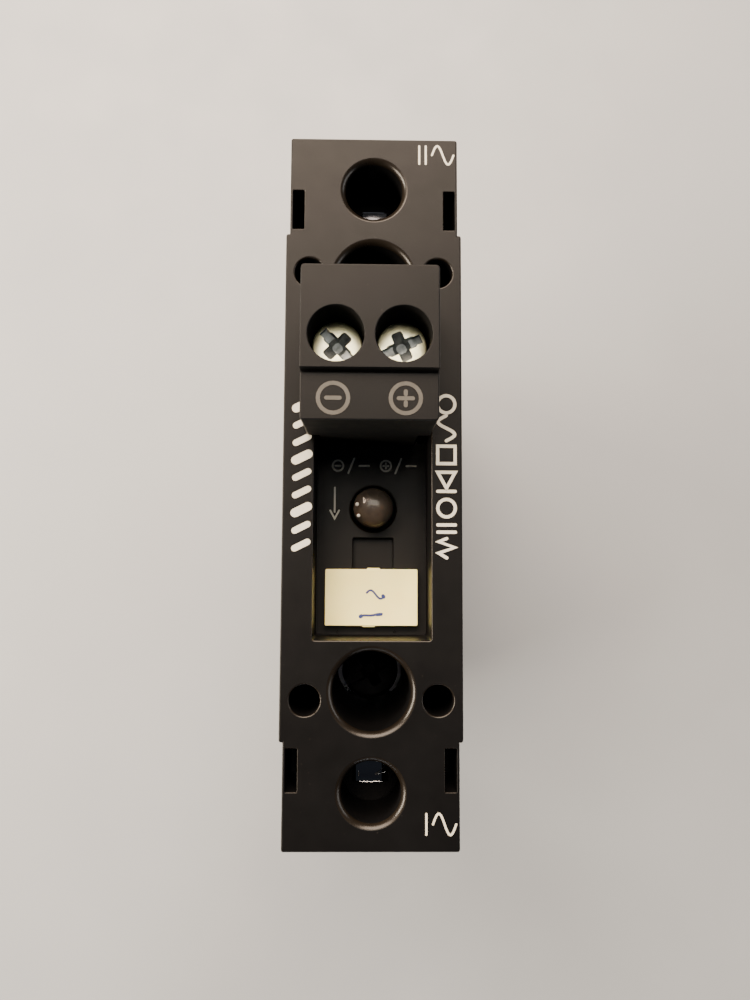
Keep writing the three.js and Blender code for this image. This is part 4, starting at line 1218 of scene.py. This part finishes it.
def label_circuit(pen, lamp_y, pair_y, z):
    """A lamp with two rays of light, and a pair of triangles back to back, each with two terminals."""
    half, high = 2.0, 1.7
    pen.line((lamp_y - half, z + high), (lamp_y + half, z + high), (lamp_y, z - high), closed=True)
    pen.bar(lamp_y, z - 1.9, half)
    for side, way in ((-1, 1), (1, -1)):
        tip, base_z = pair_y + side * 1.9, z + high * way
        pen.line((tip - 1.8, base_z), (tip + 1.8, base_z), (tip, z - high * way), closed=True)
    for way in (-1, 1):
        pen.bar(pair_y, z + 1.95 * way, 4, lift=0.001)
        for y in (lamp_y, pair_y):
            pen.line((y, z + 2.3 * way), (y, z + 5.2 * way))
            pen.ring(y, z + 6.0 * way, 0.6)
    for k in (0, 1):
        ray_y, ray_z = lamp_y + 2.8, z + 0.4 - 1.5 * k
        pen.line((ray_y, ray_z), (ray_y + 3, ray_z - 1.2), width=0.22)


def side_label():
    """The rating label, blank but for a plain line drawing."""
    box = spans("side_label")
    stands_for(slab(box[Y], box[Z], box[X], 1.2, 0.06, turn=TO_YZX), "side_label", film())
    pen = Pen(0.3, box[X][1] + INK_LIFT)
    y, z = grown(box[Y], -2.5), grown(box[Z], -2.5)
    split = z[0] + size(z) * 0.42
    label_table(pen, y, z, split)
    label_circuit(pen, y[0] + size(y) * 0.25, y[0] + size(y) * 0.74, (split + z[1]) / 2)
    for stroke in pen.strokes:
        stroke.data.transform(TO_YZX)
    pen.finish("label_drawing", "side_label", DARK_INK)


# ---- floor, light and camera

FLOOR_HALF = 1.6
CAMERA = {"tilt": (-4.9, 0.9, -0.32), "shift": (-0.31, 2.33), "distance": 93.6, "lens": 26.95}


def floor():
    data = bpy.data.meshes.new("floor")
    corners = [(sx * FLOOR_HALF, sy * FLOOR_HALF, 0) for sx, sy in ((-1, -1), (1, -1), (1, 1), (-1, 1))]
    data.from_pydata(corners, [], [(0, 1, 2, 3)])
    data.materials.append(floor_surface())
    new_object("floor", data)


def softbox(name, place, aim, width, height, power, colour):
    light = bpy.data.lights.new(name, "AREA")
    light.shape = "RECTANGLE"
    light.size, light.size_y = width, height
    light.energy = power
    light.color = colour
    obj = new_object(name, light)
    obj.location = place
    obj.rotation_mode = "QUATERNION"
    obj.rotation_quaternion = (Vector(aim) - Vector(place)).to_track_quat("-Z", "Y")


def lights():
    world = bpy.data.worlds.new("studio")
    bpy.context.scene.world = world
    world.use_nodes = True
    background = world.node_tree.nodes["Background"]
    background.inputs["Color"].default_value = (0.80, 0.88, 1.0, 1)
    background.inputs["Strength"].default_value = 0.11
    aim = (0, 0, FACE_Z * MM)
    softbox("window_left", (-0.46, 0.0, 0.29), aim, 0.42, 0.12, 11, (1.0, 0.84, 0.66))
    softbox("ceiling_front", (-0.14, 0.55, 0.62), aim, 0.8, 0.60, 42, (1.0, 0.79, 0.61))
    softbox("overhead", (0.0, 0.19, 0.83), aim, 0.34, 0.2, 1.5, (1.0, 0.93, 0.82))
    softbox("fill_right", (0.9, 0.05, 0.26), aim, 0.9, 0.3, 6, (1.0, 0.96, 0.92))
    softbox("front_low", (-0.1, -0.9, 0.10), (0, 0, 0.04), 0.9, 0.16, 4.5, (0.95, 0.97, 1.0))


def camera():
    """The photo's camera, as its turn and its shift and distance from the middle of the front face."""
    tilt = Vector([math.radians(v) for v in CAMERA["tilt"]])
    turn = Matrix.Rotation(tilt.length, 3, tilt.normalized()).transposed()
    offset = Vector((*CAMERA["shift"], -CAMERA["distance"])) * MM
    data = bpy.data.cameras.new("camera")
    data.lens = CAMERA["lens"]
    data.clip_start = 0.01
    data.clip_end = 20
    obj = new_object("camera", data)
    obj.matrix_world = Matrix.Translation(Vector((0, 0, FACE_Z * MM)) - turn @ offset) @ turn.to_4x4()
    bpy.context.scene.camera = obj


camera()
floor()
lights()
front_housing()
plug_housing()
screws()
lamp()
marker_tag()
face_marks()
recess_marks()
plug_marks()
tag_marks()
heat_sink()
latch_spring()
side_label()
eased_nodes()
tongue_burrs()
